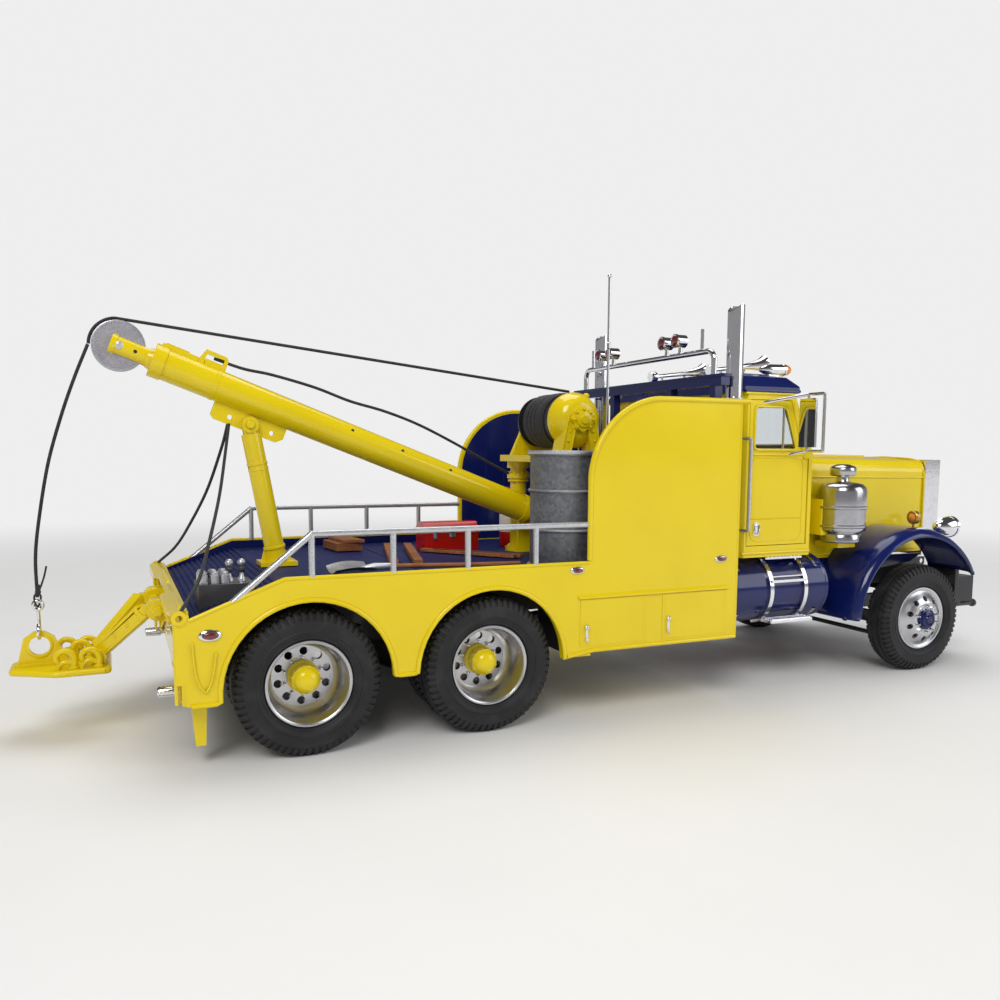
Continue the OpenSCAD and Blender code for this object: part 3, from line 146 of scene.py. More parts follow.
class Piece:
    """One mesh made of several surfaces."""

    def __init__(self):
        self.parts = []

    def grid(self, p, round_u=False, round_v=False):
        """Surface through the points p[u, v], closed on itself where it is round."""
        nu, nv = p.shape[:2]
        u = np.arange(nu if round_u else nu - 1)[:, None]
        v = np.arange(nv if round_v else nv - 1)[None, :]
        u2, v2 = (u + 1) % nu, (v + 1) % nv
        quads = np.stack(np.broadcast_arrays(u * nv + v, u2 * nv + v, u2 * nv + v2, u * nv + v2), -1)
        self.parts.append((p.reshape(-1, 3).astype(float), quads.reshape(-1, 4)))
        return self

    def turned(self, profile, centre, axis, n=48, start=0.0, end=FULL):
        """Profile of radius and distance along the axis, carried round it."""
        axis = unit(np.asarray(axis, float))
        side = unit(np.cross(axis, UP if abs(axis[2]) < 0.9 else AHEAD))
        up = np.cross(axis, side)
        whole = abs(end - start) > FULL - 1e-6
        a = np.linspace(start, end, n, endpoint=not whole)[:, None, None]
        pr = np.asarray(profile, float)
        r, h = pr[None, :, 0, None], pr[None, :, 1, None]
        p = np.asarray(centre, float) + r * (np.cos(a) * side + np.sin(a) * up) + h * axis
        return self.grid(p, round_u=whole)

    def tube(self, path, radius, sides=12, cap=True, squash=1.0, up=None):
        """Round bar along a path: a circle square to the path's direction at each point."""
        path = np.asarray(path, float)
        t = unit(np.gradient(path, axis=0))
        if up is None:
            up = np.eye(3)[np.argmin(np.abs(t).max(0))]
        s = unit(np.cross(t, up))
        w = np.cross(t, s)
        r = np.broadcast_to(np.asarray(radius, float), (len(path),))[:, None, None]
        a = np.linspace(0, FULL, sides, endpoint=False)[None, :, None]
        rings = path[:, None] + r * (np.cos(a) * s[:, None] * squash + np.sin(a) * w[:, None])
        if cap:
            ends = [np.repeat(path[i][None, None], sides, 1) for i in (0, -1)]
            rings = np.concatenate([ends[0], rings, ends[1]])
        return self.grid(rings, round_v=True)

    def bar(self, a, b, radius, sides=16):
        """Straight round bar with flat ends."""
        return self.tube(np.linspace(a, b, 2), radius, sides)

    def slab(self, outline, low, high, plane="xz", holes=()):
        """Flat plate: an outline with holes, from low to high across the plane named."""
        rings = [np.asarray(o, float) for o in (outline, *holes)]
        flat = np.concatenate(rings)
        faces = np.array(tessellate_polygon([[Vector((*q, 0)) for q in r] for r in rings]), int)
        order = {"xz": (0, 2, 1), "xy": (0, 1, 2), "yz": (2, 0, 1)}[plane]

        def lift(q, level):
            c = (q[:, 0], q[:, 1], np.full(len(q), float(level)))
            return np.stack([c[i] for i in order], -1)

        self.parts.append((lift(flat, low), faces))
        self.parts.append((lift(flat, high), faces[:, ::-1]))
        for r in rings:
            self.grid(np.stack([lift(r, low), lift(r, high)]), round_v=True)
        return self

    def block(self, low, high, corner=0.0):
        """Box between two corners, with rounded upright edges if asked."""
        (x0, y0, z0), (x1, y1, z1) = low, high
        c = rect(x0, y0, x1, y1)
        return self.slab(rounded(c, corner) if corner else c, z0, z1, "xy")

    def ball(self, centre, radii, n=20, m=12):
        """Ball or egg: half circle of radii turned round the upright."""
        u = np.linspace(0, FULL, n, endpoint=False)[:, None]
        v = np.linspace(-math.pi / 2, math.pi / 2, m)[None, :]
        rx, ry, rz = np.broadcast_to(np.asarray(radii, float), (3,))
        cx, cy, cz = centre
        return self.grid(
            points(cx + rx * np.cos(v) * np.cos(u), cy + ry * np.cos(v) * np.sin(u), cz + rz * np.sin(v)),
            round_u=True
        )

    def copied(self, n, moved):
        """The same surfaces n times; moved gives the points of all the copies."""
        self.parts = [(moved(p).reshape(-1, 3),
                       (f[None] + len(p) * np.arange(n)[:, None, None]).reshape(-1, f.shape[1])) for p,
                       f in self.parts]
        return self

    def again(self, places):
        """The same surfaces copied to each offset, as whole arrays."""
        places = np.asarray(places, float)
        return self.copied(len(places), lambda p: p[None] + places[:, None])

    def round(self, n, centre, axis="y", start=0.0):
        """The same surfaces copied n times round an axis through a centre."""
        centre = np.asarray(centre, float)
        i, j = {"x": (1, 2), "y": (2, 0), "z": (0, 1)}[axis]
        a = start + FULL / n * np.arange(n)
        turn = np.tile(np.eye(3), (n, 1, 1))
        turn[:, i, i] = turn[:, j, j] = np.cos(a)
        turn[:, i, j], turn[:, j, i] = -np.sin(a), np.sin(a)
        return self.copied(n, lambda p: np.einsum("nij,kj->nki", turn, p - centre) + centre)

    def bent(self, change):
        """Every point passed through a function of whole arrays."""
        self.parts = [(change(p), f) for p, f in self.parts]
        return self

    def join(self, other):
        """The surfaces of another piece added to this one."""
        self.parts += other.parts
        return self

    def both(self):
        """The same surfaces on the other side of the truck as well."""
        self.parts += [(p * (1, -1, 1), f[:, ::-1]) for p, f in self.parts]
        return self

    def make(self, name, body, paint, bevel=0.0, corner=35, replaces=()):
        """Joins the surfaces into one mesh, merges doubles, turns faces outwards and rides it on its body."""
        slot, finish = paint
        mesh = bpy.data.meshes.new(name)
        count, verts, faces = 0, [], []
        for p, f in self.parts:
            verts.append(at(p))
            faces += (f + count).tolist()
            count += len(p)
        mesh.from_pydata(np.concatenate(verts).tolist(), [], faces)
        tidy = bmesh_of(mesh)
        bmesh.ops.remove_doubles(tidy, verts=tidy.verts, dist=0.002 * MM)
        bmesh.ops.dissolve_degenerate(tidy, edges=tidy.edges, dist=0.001 * MM)
        bmesh.ops.recalc_face_normals(tidy, faces=tidy.faces)
        tidy.to_mesh(mesh)
        tidy.free()
        mesh.shade_smooth()
        mesh.set_sharp_from_angle(angle=math.radians(corner))
        made = placed(name, mesh)
        if bevel:
            edge = made.modifiers.new("edge", "BEVEL")
            edge.width, edge.segments, edge.limit_method = bevel * MM, 2, "ANGLE"
            edge.angle_limit, edge.harden_normals = math.radians(corner), True
        mesh.materials.append(finish)
        if body:
            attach(made, body)
        if replaces:
            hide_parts(*replaces)
        return made


def bmesh_of(mesh):
    """The mesh opened for editing."""
    tidy = bmesh.new()
    tidy.from_mesh(mesh)
    return tidy


# ---------------------------------------------------------------- finishes


def add_node(tree, kind, settings, values, out):
    """One node of a kind in a tree: its settings first, then values or links for its sockets."""
    made = tree.nodes.new("ShaderNode" + kind)
    for key, value in settings.items():
        if key == "stops":
            ramp = made.color_ramp
            while len(ramp.elements) < len(value):
                ramp.elements.new(0.5)
            for element, (spot, colour) in zip(ramp.elements, value):
                element.position, element.color = spot, (*colour, 1)
        else:
            setattr(made, key, value)
    for key, value in values.items() if isinstance(values, dict) else enumerate(values):
        value = value.socket if isinstance(value, Shade) else value
        if isinstance(value, bpy.types.NodeSocket):
            tree.links.new(value, made.inputs[key])
        else:
            made.inputs[key].default_value = value
    return made.outputs[out]


class Shade:
    """A value inside a finish; arithmetic on it adds the finish's own maths nodes."""

    def __init__(self, finish, socket):
        self.finish, self.socket = finish, socket

    def math(self, operation, *others):
        return self.finish.node("Math", {"operation": operation}, [self, *others])

    def __add__(self, other):
        return self.math("ADD", other)

    __radd__ = __add__

    def __sub__(self, other):
        return self.math("SUBTRACT", other)

    def __mul__(self, other):
        return self.math("MULTIPLY", other)

    __rmul__ = __mul__

    def above(self, low, high):
        """0 below low, 1 above high, smooth between."""
        return self.finish.node(
            "MapRange", {"interpolation_type": "SMOOTHSTEP"},
            {"Value": self, "From Min": low, "From Max": high}
        )


class Finish:
    """A procedural material: its nodes, and the shader they feed."""

    def __init__(self, name, **fixed):
        self.material = bpy.data.materials.new(name)
        self.material.use_nodes = True
        self.tree = self.material.node_tree
        self.shader = self.tree.nodes["Principled BSDF"]
        self.place = self.node("TexCoord", out="Object")
        for socket, value in fixed.items():
            self.shader.inputs[socket.replace("_", " ")].default_value = value

    def node(self, kind, settings=None, values=(), out=0):
        """One node of this finish, as a value to calculate with."""
        return Shade(self, add_node(self.tree, kind, settings or {}, values, out))

    def grain(self, size, detail=2.0, rough=0.5, stretch=(1, 1, 1), turn=(0, 0, 0)):
        """Cloudy noise whose features are about size millimetres across."""
        spot = self.node("Mapping", {}, {"Vector": self.place, "Scale": stretch, "Rotation": turn})
        return self.node(
            "TexNoise", {}, {"Vector": spot, "Scale": 1 / (size * MM), "Detail": detail, "Roughness": rough}
        )

    def cells(self, size, out="Distance"):
        """Cell pattern whose cells are about size millimetres across."""
        return self.node("TexVoronoi", {}, {"Vector": self.place, "Scale": 1 / (size * MM)}, out)

    def axis(self, letter):
        """Position along X, Y or Z in millimetres in the frame."""
        parts = self.node("SeparateXYZ", {}, [self.place], letter)
        return parts * (1 / MM)

    def blend(self, factor, a, b):
        """Colour a where the factor is 0, colour b where it is 1."""
        return self.node(
            "Mix", {"data_type": "RGBA"}, {0: factor, 6: (*a, 1) if isinstance(a, tuple) else a,
                                           7: (*b, 1) if isinstance(b, tuple) else b}, 2,
        )

    def wear(self, colour=None, rough=None, height=None, depth=0.02):
        """Feeds the shader what changes over the surface; depth is the bump's height in millimetres."""
        for socket, value in (("Base Color", colour), ("Roughness", rough)):
            if value is not None:
                self.tree.links.new(value.socket, self.shader.inputs[socket])
        if height is not None:
            bump = self.node("Bump", {}, {"Strength": 1.0, "Distance": depth * MM, "Height": height},
                "Normal")
            self.tree.links.new(bump.socket, self.shader.inputs["Normal"])
        return self.material


def gloss_paint(name, colour, deep, rough=0.16):
    """Sprayed gloss enamel: faint cloudiness, a fine orange peel and a few dust specks under a clear coat."""
    f = Finish(name, Coat_Weight=0.3, Coat_Roughness=0.06, Specular_IOR_Level=0.35)
    cloud = f.grain(22, 2)
    fine = f.grain(0.9, 2)
    speck = f.cells(2.6).above(0.06, 0.02)
    tone = f.blend(cloud.above(0.3, 0.75), colour, deep)
    return f.wear(tone, rough + 0.10 * fine.above(0.45, 0.8) + 0.12 * speck, f.grain(0.55, 1) + 0.6 * speck,
        0.008)


def deck_paint():
    """Satin navy of the deck: worn paler in cloudy patches, with fine specks of grit."""
    f = Finish("deck_navy", Specular_IOR_Level=0.25)
    worn, grit = f.grain(16, 4, 0.6).above(0.5, 0.8), f.cells(1.3).above(0.1, 0.03)
    tone = f.blend(worn, (0.005, 0.012, 0.095), (0.009, 0.020, 0.125))
    return f.wear(tone, 0.5 + 0.15 * worn - 0.2 * grit, f.grain(0.5, 2) + grit, 0.015)


def plated(name, colour=(0.80, 0.80, 0.83), rough=0.10):
    """Chrome plating on plastic: bright metal with faint ripples and duller smudges."""
    f = Finish(name, Metallic=1.0)
    smudge = f.grain(3.2, 4, 0.6)
    tone = f.blend(smudge.above(0.4, 0.7), colour, tuple(0.92 * c for c in colour))
    return f.wear(tone, rough + 0.08 * smudge.above(0.5, 0.8), f.grain(1.3, 2), 0.012)


def silver_paint(name, colour=(0.62, 0.63, 0.66), rough=0.34, flake=0.12):
    """Silver lacquer: fine flakes of different brightness under a satin surface."""
    f = Finish(name, Metallic=0.85)
    grit = f.cells(flake, out="Color")
    bright = f.node("SeparateXYZ", {}, [grit], "X")
    tone = f.blend(bright, tuple(0.72 * c for c in colour), tuple(min(1.25 * c, 1) for c in colour))
    return f.wear(tone, rough + 0.12 * f.grain(5, 3).above(0.4, 0.7), bright + f.grain(0.5), 0.006)


def rubber():
    """Moulded black vinyl: grey bloom in patches and a fine matt grain."""
    f = Finish("tyre_rubber", Specular_IOR_Level=0.35)
    bloom = f.grain(7, 4, 0.6).above(0.42, 0.75)
    tone = f.blend(bloom, (0.013, 0.013, 0.015), (0.030, 0.030, 0.033))
    return f.wear(tone, 0.52 + 0.2 * bloom, f.grain(0.35, 3), 0.02)


def wood():
    """Stained basswood: grain lines along the piece with darker streaks."""
    f = Finish("stained_wood", Specular_IOR_Level=0.3)
    line = f.grain(0.5, 4, 0.65, stretch=(0.12, 1, 1), turn=(0, 0, 0.35))
    streak = f.grain(2.4, 2, stretch=(0.3, 1, 1), turn=(0, 0, 0.35))
    tone = f.node("ValToRGB", {"stops": [(0.25, (0.10, 0.032, 0.012)), (0.5, (0.30, 0.11, 0.042)),
                                         (0.75, (0.50, 0.21, 0.09))]}, [0.6 * line + 0.4 * streak])
    return f.wear(tone, 0.55 + 0.25 * line, line, 0.04)


def zinc():
    """Grey barrel paint with hammered mottling under cloudy patches."""
    f = Finish("barrel_steel", Metallic=0.55)
    spangle = f.node("SeparateXYZ", {}, [f.cells(1.1, out="Color")], "Y")
    cloud = f.grain(4, 4, 0.6)
    tone = f.blend(0.55 * spangle + 0.45 * cloud, (0.11, 0.115, 0.13), (0.25, 0.26, 0.28))
    return f.wear(tone, 0.36 + 0.22 * cloud, 0.7 * spangle + f.grain(0.4), 0.012)


def twisted(name, colour, lit):
    """Rope thread: paler strands in a fine noise over near black."""
    f = Finish(name, Specular_IOR_Level=0.3, Sheen_Weight=0.2)
    strand = f.grain(0.35, 3, 0.6)
    return f.wear(f.blend(strand.above(0.4, 0.62), colour, lit), 0.5 + 0.2 * strand, strand, 0.05)


# What a piece is painted with: the record's material slot, or None, and the finish
YELLOW = "yellow_paint", gloss_paint("yellow_enamel", (0.78, 0.60, 0.004), (0.75, 0.565, 0.003))
NAVY = "navy_paint", gloss_paint("navy_enamel", (0.005, 0.012, 0.105), (0.0035, 0.008, 0.08))
BLACK = "chassis_black", gloss_paint("chassis_black", (0.012, 0.012, 0.015), (0.02, 0.02, 0.024), 0.34)
RED = "red_paint", gloss_paint("tool_red", (0.66, 0.012, 0.006), (0.55, 0.008, 0.004))
ENGINE = "engine_paint", gloss_paint("engine_red", (0.30, 0.03, 0.02), (0.24, 0.02, 0.015), 0.3)
CHROME = "chrome", plated("chrome_plate")
ALLOY = "wheel_alloy", plated("wheel_alloy", (0.58, 0.58, 0.60), 0.3)
SILVER = "rail_silver", silver_paint("silver_lacquer")
SHEAVE_GREY = "sheave_grey", silver_paint("sheave_grey", (0.46, 0.45, 0.49), 0.36, 0.16)
TYRE = "tyre", rubber()
WOOD = None, wood()
ZINC = "galvanised", zinc()
ROPE = "rope_black", twisted("rope_thread", (0.010, 0.010, 0.012), (0.035, 0.035, 0.04))


def seat_cloth():
    """Dark moulded cab trim with a pebbled grain."""
    f = Finish("cab_trim", Specular_IOR_Level=0.3)
    pebble = f.cells(0.5)
    return f.wear(f.blend(pebble.above(0.1, 0.6), (0.055, 0.052, 0.05), (0.10, 0.095, 0.09)),
        0.6 + 0.2 * pebble,
                  pebble, 0.03)


def clear_plastic():
    """Thin clear moulding: grey tint, faint waviness and dusty patches."""
    f = Finish("clear_plastic", Base_Color=(0.86, 0.89, 0.90, 1), Transmission_Weight=1.0, IOR=1.3)
    return f.wear(rough=0.03 + 0.10 * f.grain(4, 3).above(0.55, 0.8), height=f.grain(6), depth=0.01)


def lens(name, colour):
    """Painted clear lens: moulded facets over a deep colour."""
    f = Finish(name, Coat_Weight=1.0, Coat_Roughness=0.03)
    rib = f.cells(0.7)
    return f.wear(f.blend(rib, colour, tuple(min(1.5 * c + 0.02, 1) for c in colour)), 0.12 + 0.1 * rib, rib,
        0.03)


TRIM = "interior_grey", seat_cloth()
GLASS = "clear_styrene", clear_plastic()
RED_LENS = None, lens("red_lens", (0.10, 0.002, 0.006))
AMBER_LENS = None, lens("amber_lens", (0.62, 0.20, 0.01))
BRASS = None, silver_paint("brass_lacquer", (0.45, 0.28, 0.08), 0.3)
CAST = "chrome", plated("cleaner_chrome", (0.50, 0.50, 0.53), 0.2)
CREAM = None, gloss_paint("label_cream", (0.72, 0.68, 0.60), (0.62, 0.58, 0.50), 0.4)
DECK = None, deck_paint()
IRON = gloss_paint("wedge_grey", (0.055, 0.055, 0.06), (0.04, 0.04, 0.045), 0.4)

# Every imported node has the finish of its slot, apart from two with their own
SLOT_FINISH = dict(
    [YELLOW, NAVY, BLACK, RED, ENGINE, CHROME, ALLOY, SILVER, ZINC, SHEAVE_GREY, TYRE, ROPE, GLASS, TRIM])
OWN_FINISH = {"control_unit": IRON, "bed_deck": DECK[1]}
for part in frame["record"]["subparts"]:
    cad = frame["nodes"][part["node"]]
    cad.data.materials.clear()
    cad.data.materials.append(OWN_FINISH.get(part["node"], SLOT_FINISH[part["material_slot"]]))


# ---------------------------------------------------------------- wheels

OUTER_Y, INNER_Y, FRONT_Y = 49.4, 35.7, 45.3
TWIN_Y = (OUTER_Y + INNER_Y) / 2
LUGS = 60
SIDES = (("right", 1), ("left", -1))


def tyre(x, y):
    """Tyre about (x, y): r(u, s) and h(u, s) follow a section s; inside each of the 60 lug gaps the shoulder
    points sink by 0.55 mm, and the tread grooves swing sideways by 0.2 mm with the sign of the half lug."""
    half = [(TYRE_R, 0, 0), (TYRE_R, 1.0, 0), (TYRE_R - 0.5, 1.2, 1), (TYRE_R - 0.5, 1.8, 1),
        (TYRE_R, 2.0, 1),
            (TYRE_R, 2.8, 0), (TYRE_R - 0.05, 3.1, 2), (TYRE_R - 0.5, 4.1, 2), (19.5, 4.8, 2),
            (18.6, 5.16, 2),
            (18.3, 5.24, 0), (17.9, 5.42, 0), (17.7, 5.42, 0), (17.4, 5.36, 0), (16.4, 5.58, 0),
            (15.5, 5.52, 0),
            (15.3, 5.66, 0), (15.0, 5.66, 0), (14.8, 5.40, 0), (14.0, 5.1, 0), (13.5, 4.7, 0), (13.2, 4.8, 0),
            (12.9, 4.6, 0), (12.7, 4.0, 0), (12.1, 3.5, 0)]
    k = np.array(half[::-1] + [(r, -h, kind) for r, h, kind in half[1:]])
    part = np.arange(4 * LUGS)
    a = FULL / LUGS * (part // 4 + np.array([0, 0.08, 0.40, 0.48])[part % 4])
    gap = np.isin(part % 4, (1, 2))[:, None] * (k[None, :, 2] == 2)
    swing = np.where(part % 4 < 2, 0.2, -0.2)[:, None] * (k[None, :, 2] == 1)
    r = k[None, :, 0] - 0.55 * gap
    h = k[None, :, 1] * (1 - 0.03 * gap) + swing
    return Piece().grid(points(x + r * np.cos(a)[:, None], -y - h, AXLE_Z + r * np.sin(a)[:, None]),
        round_u=True)


def nut_ring(x, y, radius, count, size=0.55, stud=1.5):
    """Hexagon nuts on studs in a ring on the wheel face at y."""
    return Piece().turned([(0, 0), (size, 0), (size, 0.55 * size + 0.4), (0.4 * size + 0.12, 0.95),
        (0.3, 1.0),
                           (0.3, stud - 0.1), (0, stud)], (x + radius, -y, AXLE_Z), RIGHT, 6
                          ).round(count, (x, 0, AXLE_Z), start=0.3)


def twin_rims(x):
    """Two deep rims back to back as one turned section, round a flat disc with ten hand holes."""
    side = [(8.9, 0.8), (9.8, 1.3), (10.7, 2.4), (11.0, 3.6), (11.0, 8.7), (11.25, 9.2), (11.25, 10.3),
            (11.5, 10.9), (11.9, 11.15), (12.3, 11.1), (12.45, 10.8), (12.3, 10.4), (12.0, 10.2), (12.0, 3.2)]
    loop = side + [(10.2, 0.5), (10.2, -0.5)] + [(r, -h) for r, h in side[::-1]]
    rim = Piece().turned(loop, (x, -TWIN_Y, AXLE_Z), RIGHT, 80)
    holes = [ring_of(1.2, 16, x + 7.35 * math.cos(a), AXLE_Z + 7.35 * math.sin(a))
             for a in FULL / 10 * (np.arange(10) + 0.4)]
    return rim.slab(ring_of(9.3, 80, x, AXLE_Z), -TWIN_Y - 0.85, -TWIN_Y + 0.85, "xz", holes)


def hand_hole_sector(x, y, profile):
    """Tenth of a bulged disc with a hole: rays run from the hole's circle to the sector's edge, and the surface
    lies on the turned profile h(r); the hole's wall drops 0.9 mm."""
    r0, r1, half, hole, mid = 6.4, 9.6, math.pi / 10, 1.05, 8.0
    t = np.linspace(-1, 1, 9)[:-1]
    ray, ring = np.concatenate([t, np.ones(8), -t, -np.ones(8)]), np.concatenate([-np.ones(8), t, np.ones(8),
        -t])
    edge = np.stack([mid * half * ray, np.where(ring > 0, (r1 - mid) * ring, (mid - r0) * ring)], -1)
    start = hole * unit(edge)
    flat = np.stack([mix(start, edge, v) for v in (0, 0, 0.35, 1)])
    angle, radius = flat[..., 0] / mid, mid + flat[..., 1]
    h = np.interp(radius, *np.array(profile).T) - np.array([0.9, 0, 0, 0])[:, None]
    return Piece().grid(points(x + radius * np.cos(angle), -y - h, AXLE_Z + radius * np.sin(angle)),
        round_v=True
                        ).round(10, (x, 0, AXLE_Z), start=0.3)


def front_rim(x, y):
    """Front rim with a bulged disc of ten sectors, and a turned barrel behind it."""
    bulge = [(4.2, 6.7), (5.6, 6.75), (6.4, 6.65), (7.4, 6.3), (8.4, 5.7), (9.6, 4.7)]
    rim = hand_hole_sector(x, y, bulge)
    rim.turned(bulge[:3], (x, -y, AXLE_Z), RIGHT, 80)
    rim.turned([(9.6, 4.7), (10.3, 4.1), (10.9, 3.8), (11.2, 3.9), (11.5, 4.2), (11.9, 4.35), (12.3, 4.3),
                (12.45, 4.0), (12.3, 3.6), (12.0, 3.4), (12.0, -4.2), (11.1, -4.2), (11.1, 2.4), (9.8, 3.4),
                (8.4, 4.3), (5, 5.2), (4.2, 5.2), (4.2, 6.7)], (x, -y, AXLE_Z), RIGHT, 80)
    return rim


def turned_over(piece, sign):
    """The piece itself on the right side, its mirror image on the left."""
    return piece if sign > 0 else piece.bent(lambda p: p * (1, -1, 1))


def wheels():
    """Tyres, rims, hubs and nuts of all six wheel bodies, with black discs of painted shade in the front rims' hand
    holes.
    """
    for side, sign in SIDES:
        for place, x in (("rear", 0.0), ("mid", MID_X)):
            body = f"{place}_wheels_{side}"
            turned_over(tyre(x, OUTER_Y).join(tyre(x, INNER_Y)), sign).make(
                f"{place}_tread_{side}", body, TYRE, corner=28, replaces=[f"{place}_tyres_{side}"])
            turned_over(twin_rims(x), sign).make(
                f"{place}_dish_{side}", body, ALLOY, replaces=[f"{place}_rims_{side}"])
            turned_over(nut_ring(x, TWIN_Y + 0.8, 5.55, 10), sign).make(f"{place}_nuts_{side}", body, CHROME)
            hub = Piece().turned([(4.7, 0.7), (4.7, 1.7), (4.3, 2.1), (4.0, 2.2), (3.9, 5.8), (4.1, 6.0),
                (4.1, 6.6),
                                  (3.7, 7.0), (3.5, 7.6), (2.9, 8.4), (1.8, 9.0), (0, 9.2)],
                                 (x, -TWIN_Y, AXLE_Z), RIGHT, 40)
            hub.join(nut_ring(x, TWIN_Y + 5.6, 3.95, 8, 0.34, 1.3))
            turned_over(hub, sign).make(f"{place}_hub_{side}", body, YELLOW)
        body = f"front_wheel_{side}"
        turned_over(tyre(FRONT_X, FRONT_Y), sign).make(
            f"front_tread_{side}", body, TYRE, corner=28, replaces=[f"front_tyre_{side}"])
        turned_over(front_rim(FRONT_X, FRONT_Y), sign).make(
            f"front_disc_{side}", body, ALLOY, replaces=[f"front_rim_{side}"])
        # Black discs at the bottoms of the front rims' hand holes: painted shade inside the holes.
        turned_over(Piece().turned([(0, 0), (1.2, 0)], (FRONT_X + 8.0, -FRONT_Y - 5.0, AXLE_Z), RIGHT,
            14).round(
            10, (FRONT_X, 0, AXLE_Z), start=0.3), sign).make(f"front_hole_painted_shade_{side}", body, BLACK)
        turned_over(nut_ring(FRONT_X, FRONT_Y + 6.6, 5.2, 10, 0.62, 1.7), sign).make(
            f"front_nuts_{side}", body, CHROME)
        turned_over(Piece().turned([(4.3, 6.5), (4.1, 7.4), (3.5, 7.6), (3.5, 8.0), (3.1, 8.3), (2.6, 8.4),
                                    (2.2, 8.0), (1.9, 8.1), (1.5, 8.7), (0, 8.8)],
                                   (FRONT_X, -FRONT_Y, AXLE_Z), RIGHT, 32), sign).make(
            f"front_hub_{side}", body, NAVY)


wheels()


# ---------------------------------------------------------------- bed sides

HALF = 56.5
IN_HALF = 55.3
ARCH_R = 24.4


def on_side(xz, y=-HALF):
    """Path in X and Z placed on the outer face of the right bed side."""
    q = np.asarray(xz, float)
    return np.stack([q[:, 0], np.full(len(q), float(y)), q[:, 1]], -1)


def arc(x, z, r, start, end, n=24):
    """Arc in X and Z between two angles in degrees."""
    return ring_of(r, n, x, z, math.radians(start), math.radians(end))


def both_rides(piece, name, paint, **more):
    """A right-hand piece of the chassis and its mirror image, as one mesh."""
    return piece.both().make(name, "chassis", paint, **more)


def bed_sides():
    """Rolled lips, panel rim, drip rib, locker doors with hinge dots, latches, marker lamps, lining and mud flaps."""
    lip = np.concatenate([[(-31.8, 18.9), (-25.4, 18.9)], arc(0, AXLE_Z, ARCH_R, 184, 2),
        [(25.6, 21.7), (29.8, 21.7)],
                          arc(MID_X, AXLE_Z, ARCH_R, 178, 1), [(80.6, 22.0), (90, 23.3), (146.2, 23.3)]])
    trim = Piece().tube(on_side(lip), 0.75, 10, up=LEFT)
    top = np.concatenate([[(-31.8, 41.8), (-7.4, 51.3)], [(-6.6, 51.5), (88.2, 51.5)]])
    trim.tube(on_side(top, -HALF + 0.3), 0.6, 8, up=LEFT)
    trim.tube(on_side([(146.3, 23.3), (146.3, 103.4)], -HALF + 0.3), 0.55, 8, up=AHEAD)
    both_rides(trim, "side_lips", YELLOW, corner=50)
    rim = np.concatenate([[(88.3, 52.4), (88.3, 70)], arc(115, 76.8, 26.8, 176, 94),
        [(120, 103.6), (149.6, 103.6)]])
    band = Piece().tube(on_side(rim, -HALF + 0.15), 1.0, 12, up=LEFT, squash=0.85)
    both_rides(band, "panel_rim", YELLOW, corner=50)
    doors = Piece().slab([(-HALF + 0.1, 41.6), (-HALF - 0.75, 40.5), (-HALF - 0.75, 40.1),
        (-HALF + 0.1, 39.9)],
                         84.2, 142.6, "yz")
    for x0, x1 in ((85, 110.2), (116, 142.8)):
        doors.slab(rect(x0, 24.8, x1, 39.8), -HALF - 0.22, -HALF + 0.1)
    both_rides(doors, "locker_doors", YELLOW, bevel=0.12)
    seen = Piece().ball((0, -HALF - 0.22, 25.4), (0.2, 0.16, 0.2), 6, 4)
    column = np.stack([np.zeros(18), np.zeros(18), np.linspace(0, 13.8, 18)], -1)
    rows = np.concatenate([column + (x, 0, 0) for x in (108.4, 109.5, 117, 140.6, 141.7)])
    both_rides(seen.again(rows), "hinge_dots", YELLOW)
    catch = Piece()
    for x, z in ((87.2, 31.0), (118.2, 31.6)):
        catch.ball((x, -HALF - 0.75, z), (0.95, 0.8, 0.8), 16, 10)
        catch.turned([(0.6, 0), (0.5, 0.8), (0, 0.85)], (x, -HALF, z - 2.0), RIGHT, 12)
        catch.slab(rounded([(x - 0.45, z - 4.4), (x + 0.45, z - 4.4), (x + 0.35, z), (x - 0.35, z)], 0.3, 4),
                   -HALF - 0.75, -HALF + 0.1)
        catch.ball((x, -HALF - 0.7, z - 4.2), (0.6, 0.5, 0.75), 12, 8)
    both_rides(catch, "locker_latches", CHROME, bevel=0.1)
    bezel, glass = Piece(), Piece()
    for x, z, a, b in ((83.8, 49.3, 2.7, 1.35), (139.4, 50.4, 2.7, 1.3), (-26.6, 37.6, 3.1, 1.75)):
        bezel.ball((x, -HALF, z), (a, 0.9, b), 28, 12)
        glass.ball((x, -HALF - 0.45, z), (0.72 * a, 0.75, 0.62 * b), 24, 10)
    both_rides(bezel, "marker_bezels", CHROME)
    both_rides(glass, "marker_lenses", RED_LENS)
    ribs = Piece().slab(rect(0, 56, 1.4, 92), -IN_HALF - 0.05, -IN_HALF + 0.35)
    ribs.again([(x, 0, 0) for x in (100, 108.6, 130, 138.6)])
    both_rides(ribs, "panel_ribs", NAVY, bevel=0.12)
    # The tall panels are navy on the inside
    inside = np.concatenate([arc(115, 76.8, 26.0, 180, 90), [(145.6, 102.8), (145.6, 48.4), (89, 48.4)]])
    both_rides(Piece().slab(inside, -IN_HALF - 0.02, -IN_HALF + 0.12), "panel_lining", NAVY)
    flap = Piece().slab(rounded([(80.6, 22.4), (84.0, 22.4), (82.8, 44), (80.0, 44)], 0.5), -54.6, -36)
    both_rides(flap, "mud_flaps", BLACK, bevel=0.15)


bed_sides()


# ---------------------------------------------------------------- boom, winch and ropes

